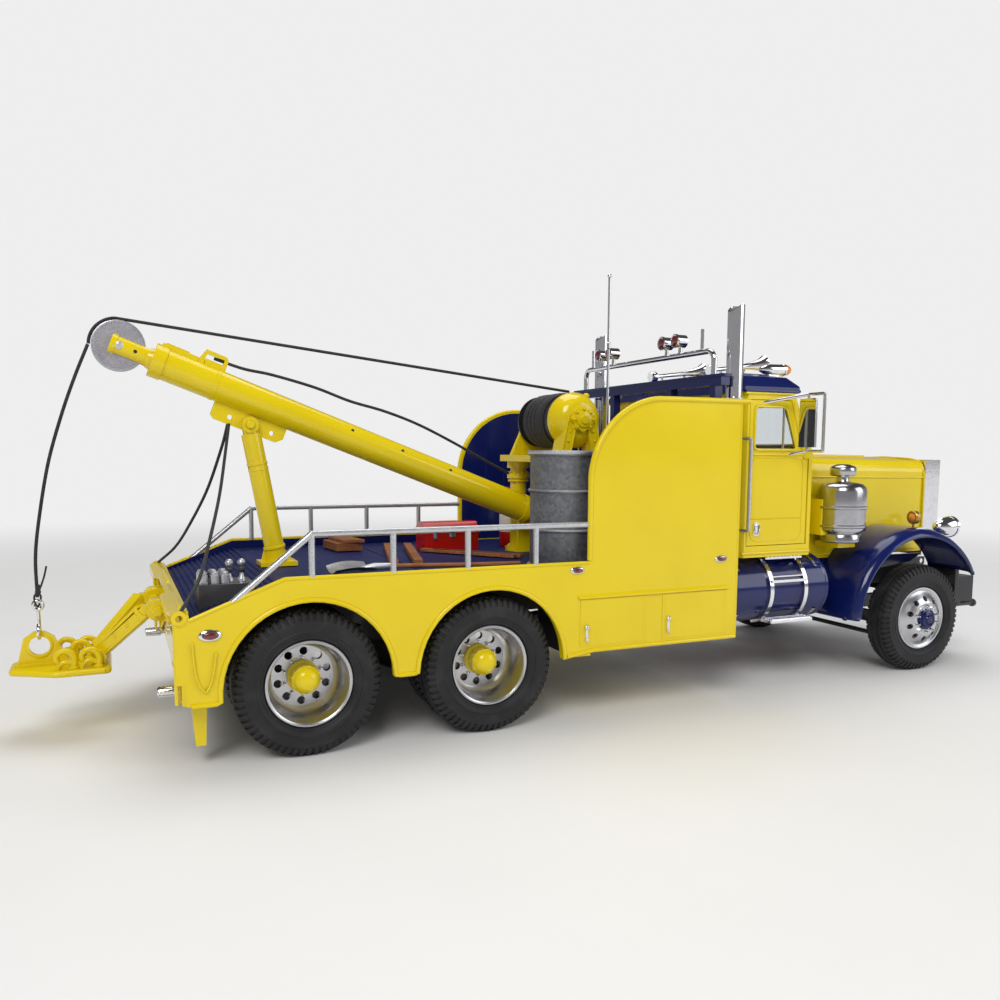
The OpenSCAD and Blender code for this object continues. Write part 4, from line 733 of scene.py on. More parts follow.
SHEAVE = np.array([-45.38, 0, 117.72])
SHEAVE_R = 7.7
FOOT = np.array([96.9, 0, 63.1])
RISE = math.radians(21)
OUT = np.array([-math.cos(RISE), 0, math.sin(RISE)])
OVER = np.array([math.sin(RISE), 0, math.cos(RISE)])
ROPE_D = 1.0
DRUM = np.array([103.6, 0, 97.6])


def on_boom(p):
    """Points given as distance out along the boom, across, and above its axis."""
    p = np.asarray(p, float)
    return FOOT + p[..., :1] * OUT + p[..., 2:] * OVER + p[..., 1:2] * LEFT


def to_boom(start, end):
    """The chassis before start and the boom past end, with both points in metres; rope() only checks that these are
    given.
    """
    return "chassis", "boom", tuple(at(start)), tuple(at(end))


def rope(name, knots, n, nodes, body=None, spans=None):
    """Round rope along a Catmull-Rom curve."""
    path = curve(knots, n)
    shape = Piece().tube(path, ROPE_D / 2, 10).make(name, None, ROPE, corner=60, replaces=nodes)
    if spans:
        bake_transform(shape)
    else:
        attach(shape, body)


def ropes():
    """Winch rope over the sheave to the hook, the slack boom rope and the two tie ropes."""
    turn = np.radians(np.linspace(96, 178, 12))
    round_sheave = SHEAVE + (SHEAVE_R + ROPE_D / 2 + 0.15) * np.stack([np.cos(turn), 0 * turn, np.sin(turn)],
        -1)
    start = DRUM + (2.0, -9.4, 10.6)
    rope("winch_rope", np.concatenate([[start], mix(start, round_sheave[0],
        np.linspace(0.2, 0.9, 6)[:, None]),
                                       round_sheave[:1]]), 60, ["winch_line"],
         spans=to_boom((80, 0, 105), (-20, 0, 122)))
    rope("sheave_rope", round_sheave, 30, [], body="boom")
    eye = np.array([-70.5, 0, 41.8])
    hang = np.array([(-53.9, 0, 117.8), (-58, 0, 107.5), (-62, 0, 96), (-66, 0, 82), (-69, 0, 66),
        (-70.5, 0, 54), eye])
    rope("hanging_rope", hang, 90, ["hanging_line"], body="boom")
    loop = Piece().tube(curve([eye + (0, 0, 1.6), eye + (0.9, 0.25, 0.2), eye + (0.5, 0.5, -1.8),
        eye + (0, 0.2, -2.9),
                               eye + (-0.6, -0.4, -1.8), eye + (-0.8, -0.2, 0.3), eye + (0.2, 0, 1.8)], 48),
                        0.3, 8, up=(0, 1, 0.1))
    loop.tube(curve([eye + (0.2, 0.2, 1.2), eye + (0.8, -0.4, 2.6), eye + (2.0, -0.5, 6),
        eye + (2.8, -0.5, 9.4)], 24),
              0.28, 8)
    loop.ball(eye + (0.2, 0, 1.6), (0.85, 0.8, 1.0), 14, 10).ball(eye + (0.4, 0, 3.1), (0.7, 0.7, 0.8), 14,
        10)
    loop.make("hook_knot", "boom", ROPE)
    lug = on_boom([125.6, 0, 7.6])
    slack = np.array([lug, (-8.6, 0, 112.4), (0.5, 0, 110.8), (14.4, 0, 107.2), (26.2, 0.4, 103.1),
        (38.5, 1, 100),
                      (51.3, 3, 95.8), (66, 6.5, 89.6), (80, 9.8, 83), (92.6, 12, 77.2)])
    rope("boom_rope", slack, 110, ["boom_line"],
         spans=to_boom((88, 0, 80), (0, 0, 110)))
    for side, s in (("left", 1), ("right", -1)):
        tie = np.array([(-13.8, 1.6 * s, 94.6), (-15.4, 6 * s, 87), (-19, 18 * s, 73), (-23.6, 32 * s, 60.6),
                        (-28, 45 * s, 51), (-33.6, 55.0 * s, 44.2)])
        rope(f"tie_rope_{side}", tie, 70, ["tie_lines"],
             spans=to_boom((-33, 0, 45), (-15, 0, 90)))


ropes()


def winding():
    """Rope on the drum: three layers of one helix r(t) = r0 + layer, the axis position running to and fro, with a
    little sideways wander."""
    coil = Piece()
    wind, wave = 0.95, np.random.default_rng(7)
    for layer, r in enumerate((8.0, 8.8, 9.6)):
        turns = (21.0 - 2.5 * layer) / wind
        t = np.linspace(0, turns, int(turns * 26))
        across = -13 + 0.9 * layer + (t if layer % 2 == 0 else turns - t) * wind
        knots = np.arange(int(turns) + 2)
        across = across + np.interp(t, knots, wave.uniform(-0.22, 0.22, len(knots)))
        lift = np.interp(t, knots, wave.uniform(-0.25, 0.2, len(knots)))
        path = points(DRUM[0] + (r + lift) * np.cos(FULL * t), across,
            DRUM[2] + (r + lift) * np.sin(FULL * t))
        coil.tube(path, ROPE_D / 2, 6, up=LEFT)
    coil.make("wound_rope", "winch_drum", ROPE, corner=60)
    core = Piece().turned([(0, -14), (9.4, -14), (9.6, -13.8), (9.6, -13.2), (7.6, -13), (7.6, 9), (9.6, 9.2),
                           (9.6, 9.8), (9.4, 10), (0, 10)], DRUM, LEFT, 48)
    core.make("drum_core", "winch_drum", BLACK, replaces=["winch_drum"])


def gear_case():
    """Domed case, ribbed A bracket with rivets, and an eight-lobed end cap: r = 4.15 + 0.4 cos(8 a)."""
    y = -15
    case = Piece().turned([(0, 0.6), (8.9, 0.6), (9.7, 0.2), (9.9, -0.6), (9.9, -2.2), (9.4, -3.0),
        (9.0, -4.4),
                           (8.2, -5.8), (6.8, -7.0), (5.6, -7.5), (0, -7.6)], DRUM + (0, y, 0), LEFT, 56)
    case.make("gear_case", "chassis", YELLOW, replaces=["winch_gearbox"])
    a = np.linspace(0, FULL, 96, endpoint=False)
    r = 4.15 + 0.4 * np.cos(8 * a)
    lobed = np.stack([DRUM[0] + r * np.cos(a), DRUM[2] + r * np.sin(a)], -1)
    cap = Piece().slab(lobed, y - 9.2, y - 7.2)
    cap.turned([(3.0, -9.0), (2.8, -9.8), (1.5, -10.1), (1.5, -10.5), (0, -10.6)], DRUM + (0, y, 0), LEFT, 32)
    cap.join(Piece().turned([(0, 0), (0.5, 0), (0.5, 0.5), (0.3, 0.7), (0, 0.75)], DRUM + (3.6, y - 9.1, 0),
        RIGHT, 6
                            ).round(8, DRUM + (0, y, 0)))
    cap.make("gear_cap", "chassis", YELLOW, bevel=0.15)
    legs = Piece()
    for s in (-1, 1):
        foot, head = np.array([DRUM[0] + s * 6.4, 85.2]), np.array([DRUM[0] + s * 3.4, 99.0])
        across = unit(np.array([foot[1] - head[1], head[0] - foot[0]])) * 2.0
        legs.slab(np.array([foot - across, foot + across, head + across, head - across]), y - 7.8, y - 1.0)
        for t in (0.12, 0.36, 0.6):
            spot = mix(foot, head, t)
            legs.ball((spot[0], y - 7.8, spot[1]), (0.5, 0.45, 0.5), 10, 6)
        edge = across * 0.85
        for e in (edge, -edge):
            a2, b2 = foot + e, head + e
            legs.bar((a2[0], y - 7.9, a2[1]), (b2[0], y - 7.9, b2[1]), 0.4, 8)
    legs.block((DRUM[0] - 9.4, y - 8.6, 84.6), (DRUM[0] + 9.4, y - 0.4, 86.2), 1.2)
    legs.ball((DRUM[0] + 4.6, y - 2.4, DRUM[2] + 8.6), (1.3, 1.3, 1.2), 14, 8)
    legs.make("gear_bracket", "chassis", YELLOW, bevel=0.2)


def boom_fittings():
    """The boom's collars and strips, black discs of painted shade where its holes are, the sheave and its pin, the
    leg's rings and the columns' flanges.
    """
    collar = Piece()
    for s0, s1, r in ((138.6, 142.4, 5.35), (4.0, 6.4, 5.3), (122, 123.2, 5.15)):
        collar.turned([(4.4, s0), (r, s0), (r + 0.02, s1), (4.4, s1)], FOOT, OUT, 48)
    collar.turned([(2.9, 153.2), (3.25, 153.2), (3.25, 154.9), (0.6, 155.0), (0.6, 153.6)], FOOT, OUT, 32)
    strip = Piece()
    for lo, hi in (((128, -1.7, 4.6), (141, 1.7, 5.9)), ((133, -1.1, 5.6), (140, 1.1, 6.5))):
        (x0, y0, z0), (x1, y1, z1) = lo, hi
        c = rounded(rect(x0, y0, x1, y1), 0.5)
        strip.slab(c, z0, z1, "xy")
    collar.join(strip.bent(on_boom))
    collar.make("boom_collars", "boom", YELLOW, bevel=0.2)
    # Black discs on both sides of the boom where its holes are: painted shade of the holes.
    pins = Piece()
    for s, z in ((77, 2.5), (58.2, 2.5), (39.3, 2.5), (147.5, 0)):
        for side in (-1, 1):
            deep = math.sqrt((5.0 if s < 142 else 3.0) ** 2 - z * z)
            pins.turned([(0.55, 0), (0.55, 0.12), (0, 0.13)], on_boom([s, side * (deep - 0.02), z]),
                (0, side, 0), 12)
    pins.make("boom_hole_painted_shade", "boom", BLACK)
    wheel = Piece().turned([(0, -1.35), (2.2, -1.35), (2.4, -1.1), (6.4, -1.1), (7.3, -1.25), (7.7, -1.1),
        (7.7, -0.85),
                            (7.0, -0.25), (7.0, 0.25), (7.7, 0.85), (7.7, 1.1), (7.3, 1.25), (6.4, 1.1),
                            (2.4, 1.1),
                            (2.2, 1.35), (0, 1.35)], SHEAVE, LEFT, 64)
    wheel.bar(SHEAVE + (0, -2.7, 0), SHEAVE + (0, 2.7, 0), 1.0, 20)
    wheel.make("sheave_wheel", "sheave", SHEAVE_GREY, replaces=["sheave"])
    pin = Piece()
    for side in (-1, 1):
        pin.turned([(1.25, 0), (1.25, 0.25), (0.9, 0.45), (0, 0.5)], SHEAVE + (0, 2.75 * side, 0),
            (0, side, 0), 20)
    pin.make("sheave_pin", "sheave", SILVER)
    top, foot = np.array([-7.26, 0, 94.5]), np.array([0.8, 0, 49.7])
    down = unit(foot - top)
    leg = Piece()
    for d, r in ((12.4, 3.35), (40.4, 3.6), (14.2, 3.28)):
        leg.turned(rect(2.9, 0, r, 0.9), top + d * down, down, 36)
    for side in (-1, 1):
        leg.turned([(1.3, 0), (1.3, 0.5), (1.0, 0.75), (0, 0.8)], top + (0, 3.5 * side, 0), (0, side, 0), 20)
        leg.slab([(0.8 + 3.0 * side, 49.6), (0.8 + 5.2 * side, 49.6), (0.8 + 3.0 * side - 1, 54.4)], -0.5,
            0.5)
    leg.make("leg_rings", "support_leg", YELLOW, bevel=0.15)
    column = Piece()
    for y in (12, -15):
        for z in (62, 74.6):
            column.turned([(3, 0), (3.9, 0), (4.1, 0.4), (3.9, 1.2), (3, 1.2)], (COLUMN_X, y, z), UP, 36)
        column.join(Piece().turned([(0, 0), (0.55, 0), (0.55, 0.5), (0.3, 0.8), (0, 0.85)], (99.4, y, 49.6),
            UP, 6
                                   ).round(6, (COLUMN_X, y, 0), "z"))
        column.join(Piece().turned([(0, 0), (0.5, 0), (0.5, 0.6), (0, 0.65)], (99, y, 78.0), UP, 6
                                   ).round(8, (COLUMN_X, y, 0), "z"))
    for y in (-6.6, 6.6):
        s = 1 if y > 0 else -1
        column.turned([(1.9, 0), (1.9, 0.9), (1.4, 1.3), (0, 1.35)], (96.9, y + s * 0.9, 63.1), (0, s, 0), 24)
    column.make("column_flanges", "chassis", YELLOW, bevel=0.12)


winding()
gear_case()
boom_fittings()


# ---------------------------------------------------------------- bed


def deck():
    """Ribs across the deck's rear slope, two seams across it, and the navy inner faces of the low side walls."""
    ribs = Piece()
    for x in np.arange(-30.4, -6.4, 1.7):
        z = 48.0 + (x + 7) * 7.4 / 24.8
        ribs.tube(np.array([(x, -54.6, z + 0.05), (x, 54.6, z + 0.05)]), 0.55, 8)
    ribs.make("deck_ribs", "chassis", DECK)
    seam = Piece()
    for x in (-5.8, 41):
        seam.tube(np.array([(x, -54.8, 48), (x, 54.8, 48)]), 0.28, 8)
    seam.make("deck_seams", "chassis", DECK)
    wall = [(-30.6, 40.4), (-6.9, 48.1), (88.6, 48.1), (88.6, 51.2), (-6.9, 51.2), (-30.6, 42.0)]
    both_rides(Piece().slab(wall, -IN_HALF - 0.02, -IN_HALF + 0.14), "wall_lining", NAVY)


deck()


def beam(a, b, half_a, half_b, side=LEFT):
    """Bar of four flat sides from a to b; each half size is (across, up), across measured along side."""
    a, b, side = np.asarray(a, float), np.asarray(b, float), np.asarray(side, float)
    up = unit(np.cross(unit(b - a), side))
    corner = np.array(rect(1, 1, -1, -1))
    rings = [c + corner[:, :1] * w * side + corner[:, 1:] * h * up for c,
        (w, h) in ((a, half_a), (b, half_b))]
    flat = [np.repeat(c[None], 4, 0) for c in (a, b)]
    return Piece().grid(np.stack([flat[0], rings[0], rings[1], flat[1]]), round_v=True)


# The tow bar's hinge
HINGE_X, HINGE_Z = -37.6, 38


def tail():
    """Ribbed tail posts, knurled studs, bolt heads of the tow bar's pivots, and the moulded chains."""
    posts = Piece()
    for x, y0, y1, r in ((-35.3, -56.3, -54.4, 0.55), (-34.0, -53.4, -52.8, 0.4)):
        posts.tube(np.array([(x, (y0 + y1) / 2, 19.4), (x, (y0 + y1) / 2, 41.4)]), r, 10)
    posts.slab(rounded([(-56.3, 18.9), (-44, 18.9), (-44, 20.6), (-53, 20.6), (-54.2, 40), (-56.3, 40)], 0.6),
        -34.0,
               -32.9, "yz")
    posts.slab(rounded([(-56.3, 39.2), (-47, 44.2), (-3, 44.2), (-3, 42.6), (-46, 42.6), (-54, 38.6)], 1.2),
        -33.9,
               -32.9, "yz")
    posts.tube(np.array([(-33.4, -50, 20), (-33.4, -20, 30.2), (-33.4, -4, 30.2)]), 0.5, 8)
    posts.slab([(-31.7, -54.2), (-36.3, -53.6), (-36.9, -51), (-36.9, -21), (-35.4, -18), (-35.4, 0),
                (-31.7, 0)], 42.9, 43.9, "xy")
    posts.slab(rounded([(-37.0, 40.9), (-37.0, 43.8), (-36.2, 43.8), (-36.2, 40.9)], 0.3, 3), -50.6, -22,
        "xz")
    both_rides(posts, "tail_ribs", YELLOW, bevel=0.15)
    eyes = Piece().turned([(1.0, -0.9), (1.9, -0.9), (2.0, -0.5), (2.0, 0.5), (1.9, 0.9), (1.0, 0.9),
        (0.85, 0),
                           (1.0, -0.9)],
                          (-34.2, -56.0, 42.6), LEFT, 28)
    both_rides(eyes, "tail_eyes", YELLOW)
    stud = Piece()
    spot = (-34.2, -43, 20.2)
    a = np.linspace(0, FULL, 36, endpoint=False)[:, None]
    h = np.linspace(0, 5, 15)[None, :]
    r = 1.4 * (1 + 0.12 * np.sign(np.sin(9 * a)) * (np.arange(15) % 3 > 0)[None, :])
    stud.grid(points(spot[0] - h, spot[1] + r * np.cos(a), spot[2] + r * np.sin(a)), round_u=True)
    stud.turned([(0.9, -2), (0.9, 0), (1.4, 0.1), (1.4, 4.9), (1.2, 5.3), (0.6, 5.2), (0, 5)], spot,
        (-1, 0, 0), 20)
    both_rides(stud, "tail_studs", CHROME)
    bolts = Piece()
    for y in (-16.4, -7.6):
        s = -1 if y < -12 else 1
        bolts.turned([(2.6, 0), (2.6, 0.35), (0, 0.35)], (HINGE_X, y, HINGE_Z), (0, s, 0), 24)
        bolts.turned([(1.7, 0.3), (1.7, 1.3), (1.3, 1.6), (0, 1.6)], (HINGE_X, y, HINGE_Z), (0, s, 0), 6)
    both_rides(bolts, "pivot_bolts", YELLOW)
    line = curve([(-31.2, -57, 36), (-30.9, -57, 31), (-30.2, -57, 26), (-28.2, -57, 22.6), (-26.4, -57, 26),
                  (-25.2, -57, 33)], 150)
    bump = 0.24 + 0.15 * np.abs(np.sin(np.linspace(0, 30 * math.pi, 150)))
    both_rides(Piece().tube(line, bump, 8, up=LEFT), "side_chains", YELLOW, corner=60)


def tow_gear():
    """Flanges and webs of the two arms, thick rims of the plate and the ear, and hooks that curl over."""
    arms = Piece()
    for s in (-1, 1):
        a, b = np.array([-41, 12.0 * s, 37.8]), np.array([-54.6, 4.2 * s, 23.8])
        side = unit(np.array([-(b - a)[1], (b - a)[0], 0]))
        up = unit(np.cross(unit(b - a), side))
        up = up * np.sign(up[2])
        for lift in (1.9, -1.9):
            arms.join(beam(a + lift * up, b + lift * 0.8 * up, (2.2, 0.45), (1.9, 0.4), side))
        for t in (0.06, 0.94):
            mid = mix(a, b, t)
            arms.join(beam(mid - 0.7 * unit(b - a), mid + 0.7 * unit(b - a), (2.25, 2.1), (2.25, 2.1), side))
        arms.bar(a + (2.5, 0, 0.1), a + (-2.0, 0, -2.4), 1.5, 16)
        arms.turned([(3.1, -2.2), (3.3, -1.8), (3.3, 1.8), (3.1, 2.2), (1.4, 2.2), (1.4, -2.2), (3.1, -2.2)],
                    (HINGE_X, 12 * s, HINGE_Z), LEFT, 32)
        for t in (0.3, 0.55):
            spot = mix(a, b, t)
            arms.turned([(0.8, 0), (0.8, 0.3), (0, 0.35)], spot + 1.95 * s * side * np.sign(side[1]),
                (0, s, 0), 12)
    arms.make("arm_flanges", "tow_bar", YELLOW, bevel=0.12)
    hooks = Piece()
    for y, x in ((9.0, -56.6), (9.0, -62.6), (-9.0, -55.8), (-9.0, -62.6), (3.8, -58.6)):
        shape = curve([(x + 1.4, y, 21), (x + 1.8, y, 23.6), (x + 0.6, y, 25.9), (x - 1.6, y, 26.4),
            (x - 3.1, y, 24.9),
                       (x - 2.7, y, 23.2), (x - 1.6, y, 23.0)], 26)
        hooks.tube(shape, np.interp(np.arange(26), [0, 8, 20, 25], [1.0, 0.95, 0.85, 0.4]), 12)
        hooks.turned([(1.5, 0), (1.5, 0.6), (1.1, 0.9), (0, 0.9)], (x + 1.4, y, 20.9), UP, 20)
    for y in (-6.4, 6.4):
        hooks.turned([(1.7, 0), (1.7, 0.7), (1.3, 1.0), (0.7, 1.0), (0.7, 1.6), (0, 1.7)], (-54, y, 24.9), UP,
            6)
    hooks.make("chain_hooks", "tow_bar", YELLOW, corner=50)
    plate = np.array([(-52, -12), (-52, 12), (-66, 12), (-78.2, 5), (-78.2, -5), (-66, -12)]) * (0.995, 1.03)
    edge = rounded(plate, 0.8, 4)
    loop = np.concatenate([edge, edge[:1]])
    rim = Piece().tube(np.column_stack([loop, np.full(len(loop), 20.3)]), 0.95, 8, up=UP)
    rim.turned([(2.9, -1.0), (3.6, -1.0), (3.8, -0.8), (3.8, 0.8), (3.6, 1.0), (2.9, 1.0), (2.85, 0),
        (2.9, -1.0)],
               (-70.5, 0, 27), LEFT, 36)
    rim.make("plate_rims", "tow_bar", YELLOW, corner=60)
    base = Piece().slab(rounded(rect(-77.6, -2.0, -60.6, 2.0), 0.6), 20.6, 21.9, "xy")
    base.make("ear_base", "tow_bar", YELLOW, bevel=0.3)


def bed_gear():
    """What stands and lies on the bed: barrel rings, tool chest lid, wood, shovel, bottle and control levers."""
    hoop = Piece()
    for z, r, b in ((48.8, 12.3, 0.5), (60.8, 12.2, 0.55), (73.6, 12.2, 0.55)):
        hoop.turned([(11.5, -b), (r, -b), (r + 0.45, 0), (r, b), (11.5, b), (11.5, -b)], (*BARREL, z), UP, 64)
    hoop.make("barrel_hoops", "chassis", SILVER)
    lip = Piece().turned([(11.3, -1.2), (12.4, -1.2), (12.9, -0.7), (12.9, 0.0), (12.5, 0.5), (11.8, 0.5),
        (11.3, 0.1),
                          (11.3, -1.2)], (*BARREL, 86.3), UP, 72)
    lip.turned([(1.4, 0), (1.4, 0.5), (1.1, 0.7), (0, 0.7)], (95, -41, 85.3), UP, 16)
    lip.make("barrel_lip", "chassis", SILVER)
    chest = [(20.2, 54.6), (30.8, 54.6), (30.8, 56.4), (28.2, 59.0), (22.8, 59.0), (20.2, 56.4)]
    lid = Piece().slab(rounded(chest, 0.9), 59.8, 82.2, "yz")
    lid.slab(rounded(rect(19.7, 54.2, 31.3, 55.0), 0.2), 59.5, 82.5, "yz")
    lid.make("chest_lid", "chassis", RED, bevel=0.25)
    clasp = Piece()
    for x in (64, 78):
        clasp.block((x - 0.9, 19.3, 52.6), (x + 0.9, 20.2, 56.0), 0.3)
    clasp.block((69.6, 19.5, 53.2), (72.4, 20.2, 55.2), 0.4)
    clasp.make("chest_clasps", "chassis", CHROME, bevel=0.1)
    lumber = Piece()
    for ends, wide, high in ((((49.2, 34), (35.4, -19.5)), 1.5, 1.9),
        (((56.6, 31.6), (43.6, -20.4)), 1.5, 1.9),
                             (((58.6, 19), (82.6, -13.2)), 1.6, 1.1),
                             (((61.4, 15.8), (85.4, -12.4)), 1.6, 1.1),
                             (((31.4, 46), (33.0, 29)), 5.0, 3.0)):
        (x0, y0), (x1, y1) = ends
        out = unit(np.array([y0 - y1, x1 - x0])) * wide
        lumber.slab([(x0 - out[0], y0 - out[1]), (x1 - out[0], y1 - out[1]), (x1 + out[0], y1 + out[1]),
                     (x0 + out[0], y0 + out[1])], 48.4, 48.4 + high, "xy")
    lumber.slab([(28.4, 45), (30.4, 29), (38.6, 28), (36, 46)], 51.5, 52.6, "xy")
    lumber.make("lumber", "chassis", WOOD, bevel=0.1)
    u, v = np.linspace(-1, 1, 15)[:, None], np.linspace(0, 1, 13)[None, :]
    wide = 8.2 * (1 - 0.22 * v**3)
    blade = points(24.4 - 13.4 * v, -30.5 - 3.4 * v + wide * u, 49.0 + 1.5 * u**2 + 0.7 * np.sin(math.pi * v))
    spade = Piece().grid(blade).grid(blade + (0, 0, 0.35))
    spade.tube(np.array([(21, -31.5, 49.9), (25, -32.4, 50.4), (30.5, -33.2, 50.5)]), [0.7, 1.25, 0.95], 12)
    spade.make("shovel_blade", "chassis", SILVER)
    Piece().tube(curve([(30, -33.2, 50.5), (42, -34, 50.2), (60, -34.6, 49.7), (74, -35, 49.5)], 24), 0.75,
        12).make(
        "shovel_handle", "chassis", WOOD)
    bottle = Piece().turned([(0, 48), (3.6, 48.0), (3.9, 48.5), (3.9, 66), (3.4, 68), (2.0, 69.6), (1.3, 70),
        (1.3, 72),
                             (0, 72.2)], BOTTLE, UP, 32)
    bottle.make("bottle", "chassis", RED)
    band = Piece().turned([(3.85, 54), (3.98, 54.1), (3.98, 61), (3.85, 61.1)], BOTTLE, UP, 32)
    band.make("bottle_band", "chassis", CREAM)
    valve = Piece()
    for x in (-26.4, -23.4, -20.6):
        valve.block((x - 1.2, -41.2, 48.8), (x + 1.2, -31.6, 51.4), 0.7)
        for y in (-39.6, -36.6, -33.6):
            valve.turned([(1.1, 0), (1.1, 0.8), (0.8, 1.1), (0, 1.15)], (x, y, 51.2), UP, 14)
    for x in (-19.0, -15.6):
        valve.turned([(1.2, 48.9), (1.1, 49.8), (0.7, 50.4), (0.5, 51.4), (0.5, 54)], (x, -37, 0), UP, 18)
        valve.ball((x, -37, 54.3), 1.15, 20, 12)
    valve.make("valve_block", "chassis", SILVER, bevel=0.12)


def closed(outline):
    """Outline whose first point is repeated at its end."""
    return np.concatenate([outline, outline[:1]])


CAB_HALF = 46.0


def cab():
    """Beads, frames and handles of the doors, panes, belt lines, horns and the marker lamp on the roof."""
    y = -CAB_HALF
    window = rounded([(160.8, 87.4), (180.4, 87.4), (175.2, 102.8), (160.8, 102.8)], 1.8, 6)
    panel = rounded(rect(160.2, 54.6, 183.8, 84.6), 3.2, 7)
    for side, sign in SIDES:
        door = f"door_{side}"
        frame_bead = Piece().tube(on_side(closed(window), y - 0.1), 0.5, 8, up=LEFT)
        frame_bead.tube(on_side(closed(panel), y + 0.02), 0.22, 6, up=LEFT)
        frame_bead.tube(on_side([(159.4, 85.8), (184.6, 85.8)], y - 0.05), 0.5, 8, up=UP)
        frame_bead.tube(on_side([(160.4, 62.6), (183.6, 62.6)], y + 0.02), 0.25, 6, up=UP)
        turned_over(frame_bead, sign).make(f"door_beads_{side}", door, YELLOW, corner=60)
        shiny = Piece().tube(on_side([(174.2, 87.4), (174.2, 102.6)], y + 0.3), 0.42, 8)
        shiny.slab(rounded(rect(161.6, 56.4, 164.2, 61.4), 0.9), y - 0.35, y + 0.1)
        shiny.tube(curve([(162.9, y - 0.3, 60.4), (162.9, y - 1.5, 60.0), (162.9, y - 1.6, 58.6),
                          (162.9, y - 0.9, 57.2)], 14),
                   0.45, 10)
        shiny.turned([(0.7, 0), (0.6, 0.4), (0, 0.45)], (162.9, y - 0.3, 57.4), RIGHT, 14)
        turned_over(shiny, sign).make(f"door_chrome_{side}", door, CHROME, bevel=0.12)
        pane = Piece().slab(window, y + 0.8, y + 1.1)
        turned_over(pane, sign).make(f"door_pane_{side}", door, GLASS)
    body = Piece()
    body.tube(on_side([(156.6, 50.2), (188, 50.2)], y - 0.05), 0.55, 8, up=UP)
    body.tube(on_side([(156.4, 107.4), (178.4, 107.4)], y - 0.1), 0.5, 8, up=UP)
    body.tube(curve([(187.6, -46.0, 86.0), (192, -41, 85.6), (197.4, -34.2, 85.0), (202.6, -28.2, 84.4)], 20),
        0.5, 8)
    body.tube(curve([(187.6, -46.2, 50.2), (192, -41, 50.2), (197.4, -34.4, 50.2), (202.6, -28.2, 50.2)], 20),
        0.55, 8)
    both_rides(body, "cab_beads", YELLOW, corner=60)
    gutter = Piece().tube(np.array([(156.0, -46.2, 108.2), (179.6, -46.2, 108.2)]), 0.55, 8)
    gutter.tube(curve([(181.2, -45.6, 108.6), (182.2, -30, 108.9), (182.6, 0, 109), (182.2, 30, 108.9),
                       (181.2, 45.6, 108.6)], 40),
                0.6, 8)
    both_rides(gutter, "roof_gutter", NAVY)
    horns = Piece()
    for a, b in (((158.6, 14, 117.4), (182.4, 14, 120.4)), ((162.0, -20, 117.6), (185.6, -20, 120.6))):
        a, b = np.array(a), np.array(b)
        horns.turned([(0, -2.4), (1.9, -2.4), (2.1, -2.0), (2.1, -1.2), (1.6, -1.0), (1.6, -0.6), (2.1, -0.4),
                      (2.1, 0.3),
                      (1.0, 0.7), (0.75, 2), (0.85, 9), (1.1, 15), (1.6, 19), (2.3, 22), (3.3, 24),
                      (3.5, 24.3),
                      (3.3, 24.4), (2.4, 23.0), (1.2, 20), (0, 18.5)], a, unit(b - a), 32)
        for t in (0.15, 0.62):
            foot = mix(a, b, t)
            horns.bar((foot[0], foot[1], 114.9), foot, 0.5, 10)
            horns.turned([(1.3, 0), (1.2, 0.4), (0, 0.45)], (foot[0], foot[1], 115.0), UP, 16)
    horns.make("roof_horns", "chassis", CHROME)
    lamp_body = Piece().turned([(0, 0), (0.9, 0.5), (1.7, 2.2), (2.1, 5), (2.1, 10.6), (2.3, 10.8),
        (2.3, 11.4),
                                (1.9, 11.5)],
                               TORPEDO, (1, 0, 0.02), 28)
    lamp_body.block((176.0, -34.4, 114.6), (181.6, -32.6, 116.2), 0.6)
    lamp_body.make("torpedo_lamp", "chassis", CHROME)
    Piece().turned([(2.1, 11.3), (2.0, 12.8), (1.4, 14.0), (0, 14.5)], TORPEDO, (1, 0, 0.02), 24).make(
        "torpedo_lens", "chassis", AMBER_LENS)
    trim = Piece()
    trim.block((158.4, -43.6, 52), (160.0, 43.6, 104), 0.5)
    trim.make("cab_lining", "chassis", TRIM)


def hood_side(x):
    """Half width of the hood at x, from the hull of its end sections."""
    return 27.5 - (np.asarray(x, float) - 203.35) * 5.5 / 71.65


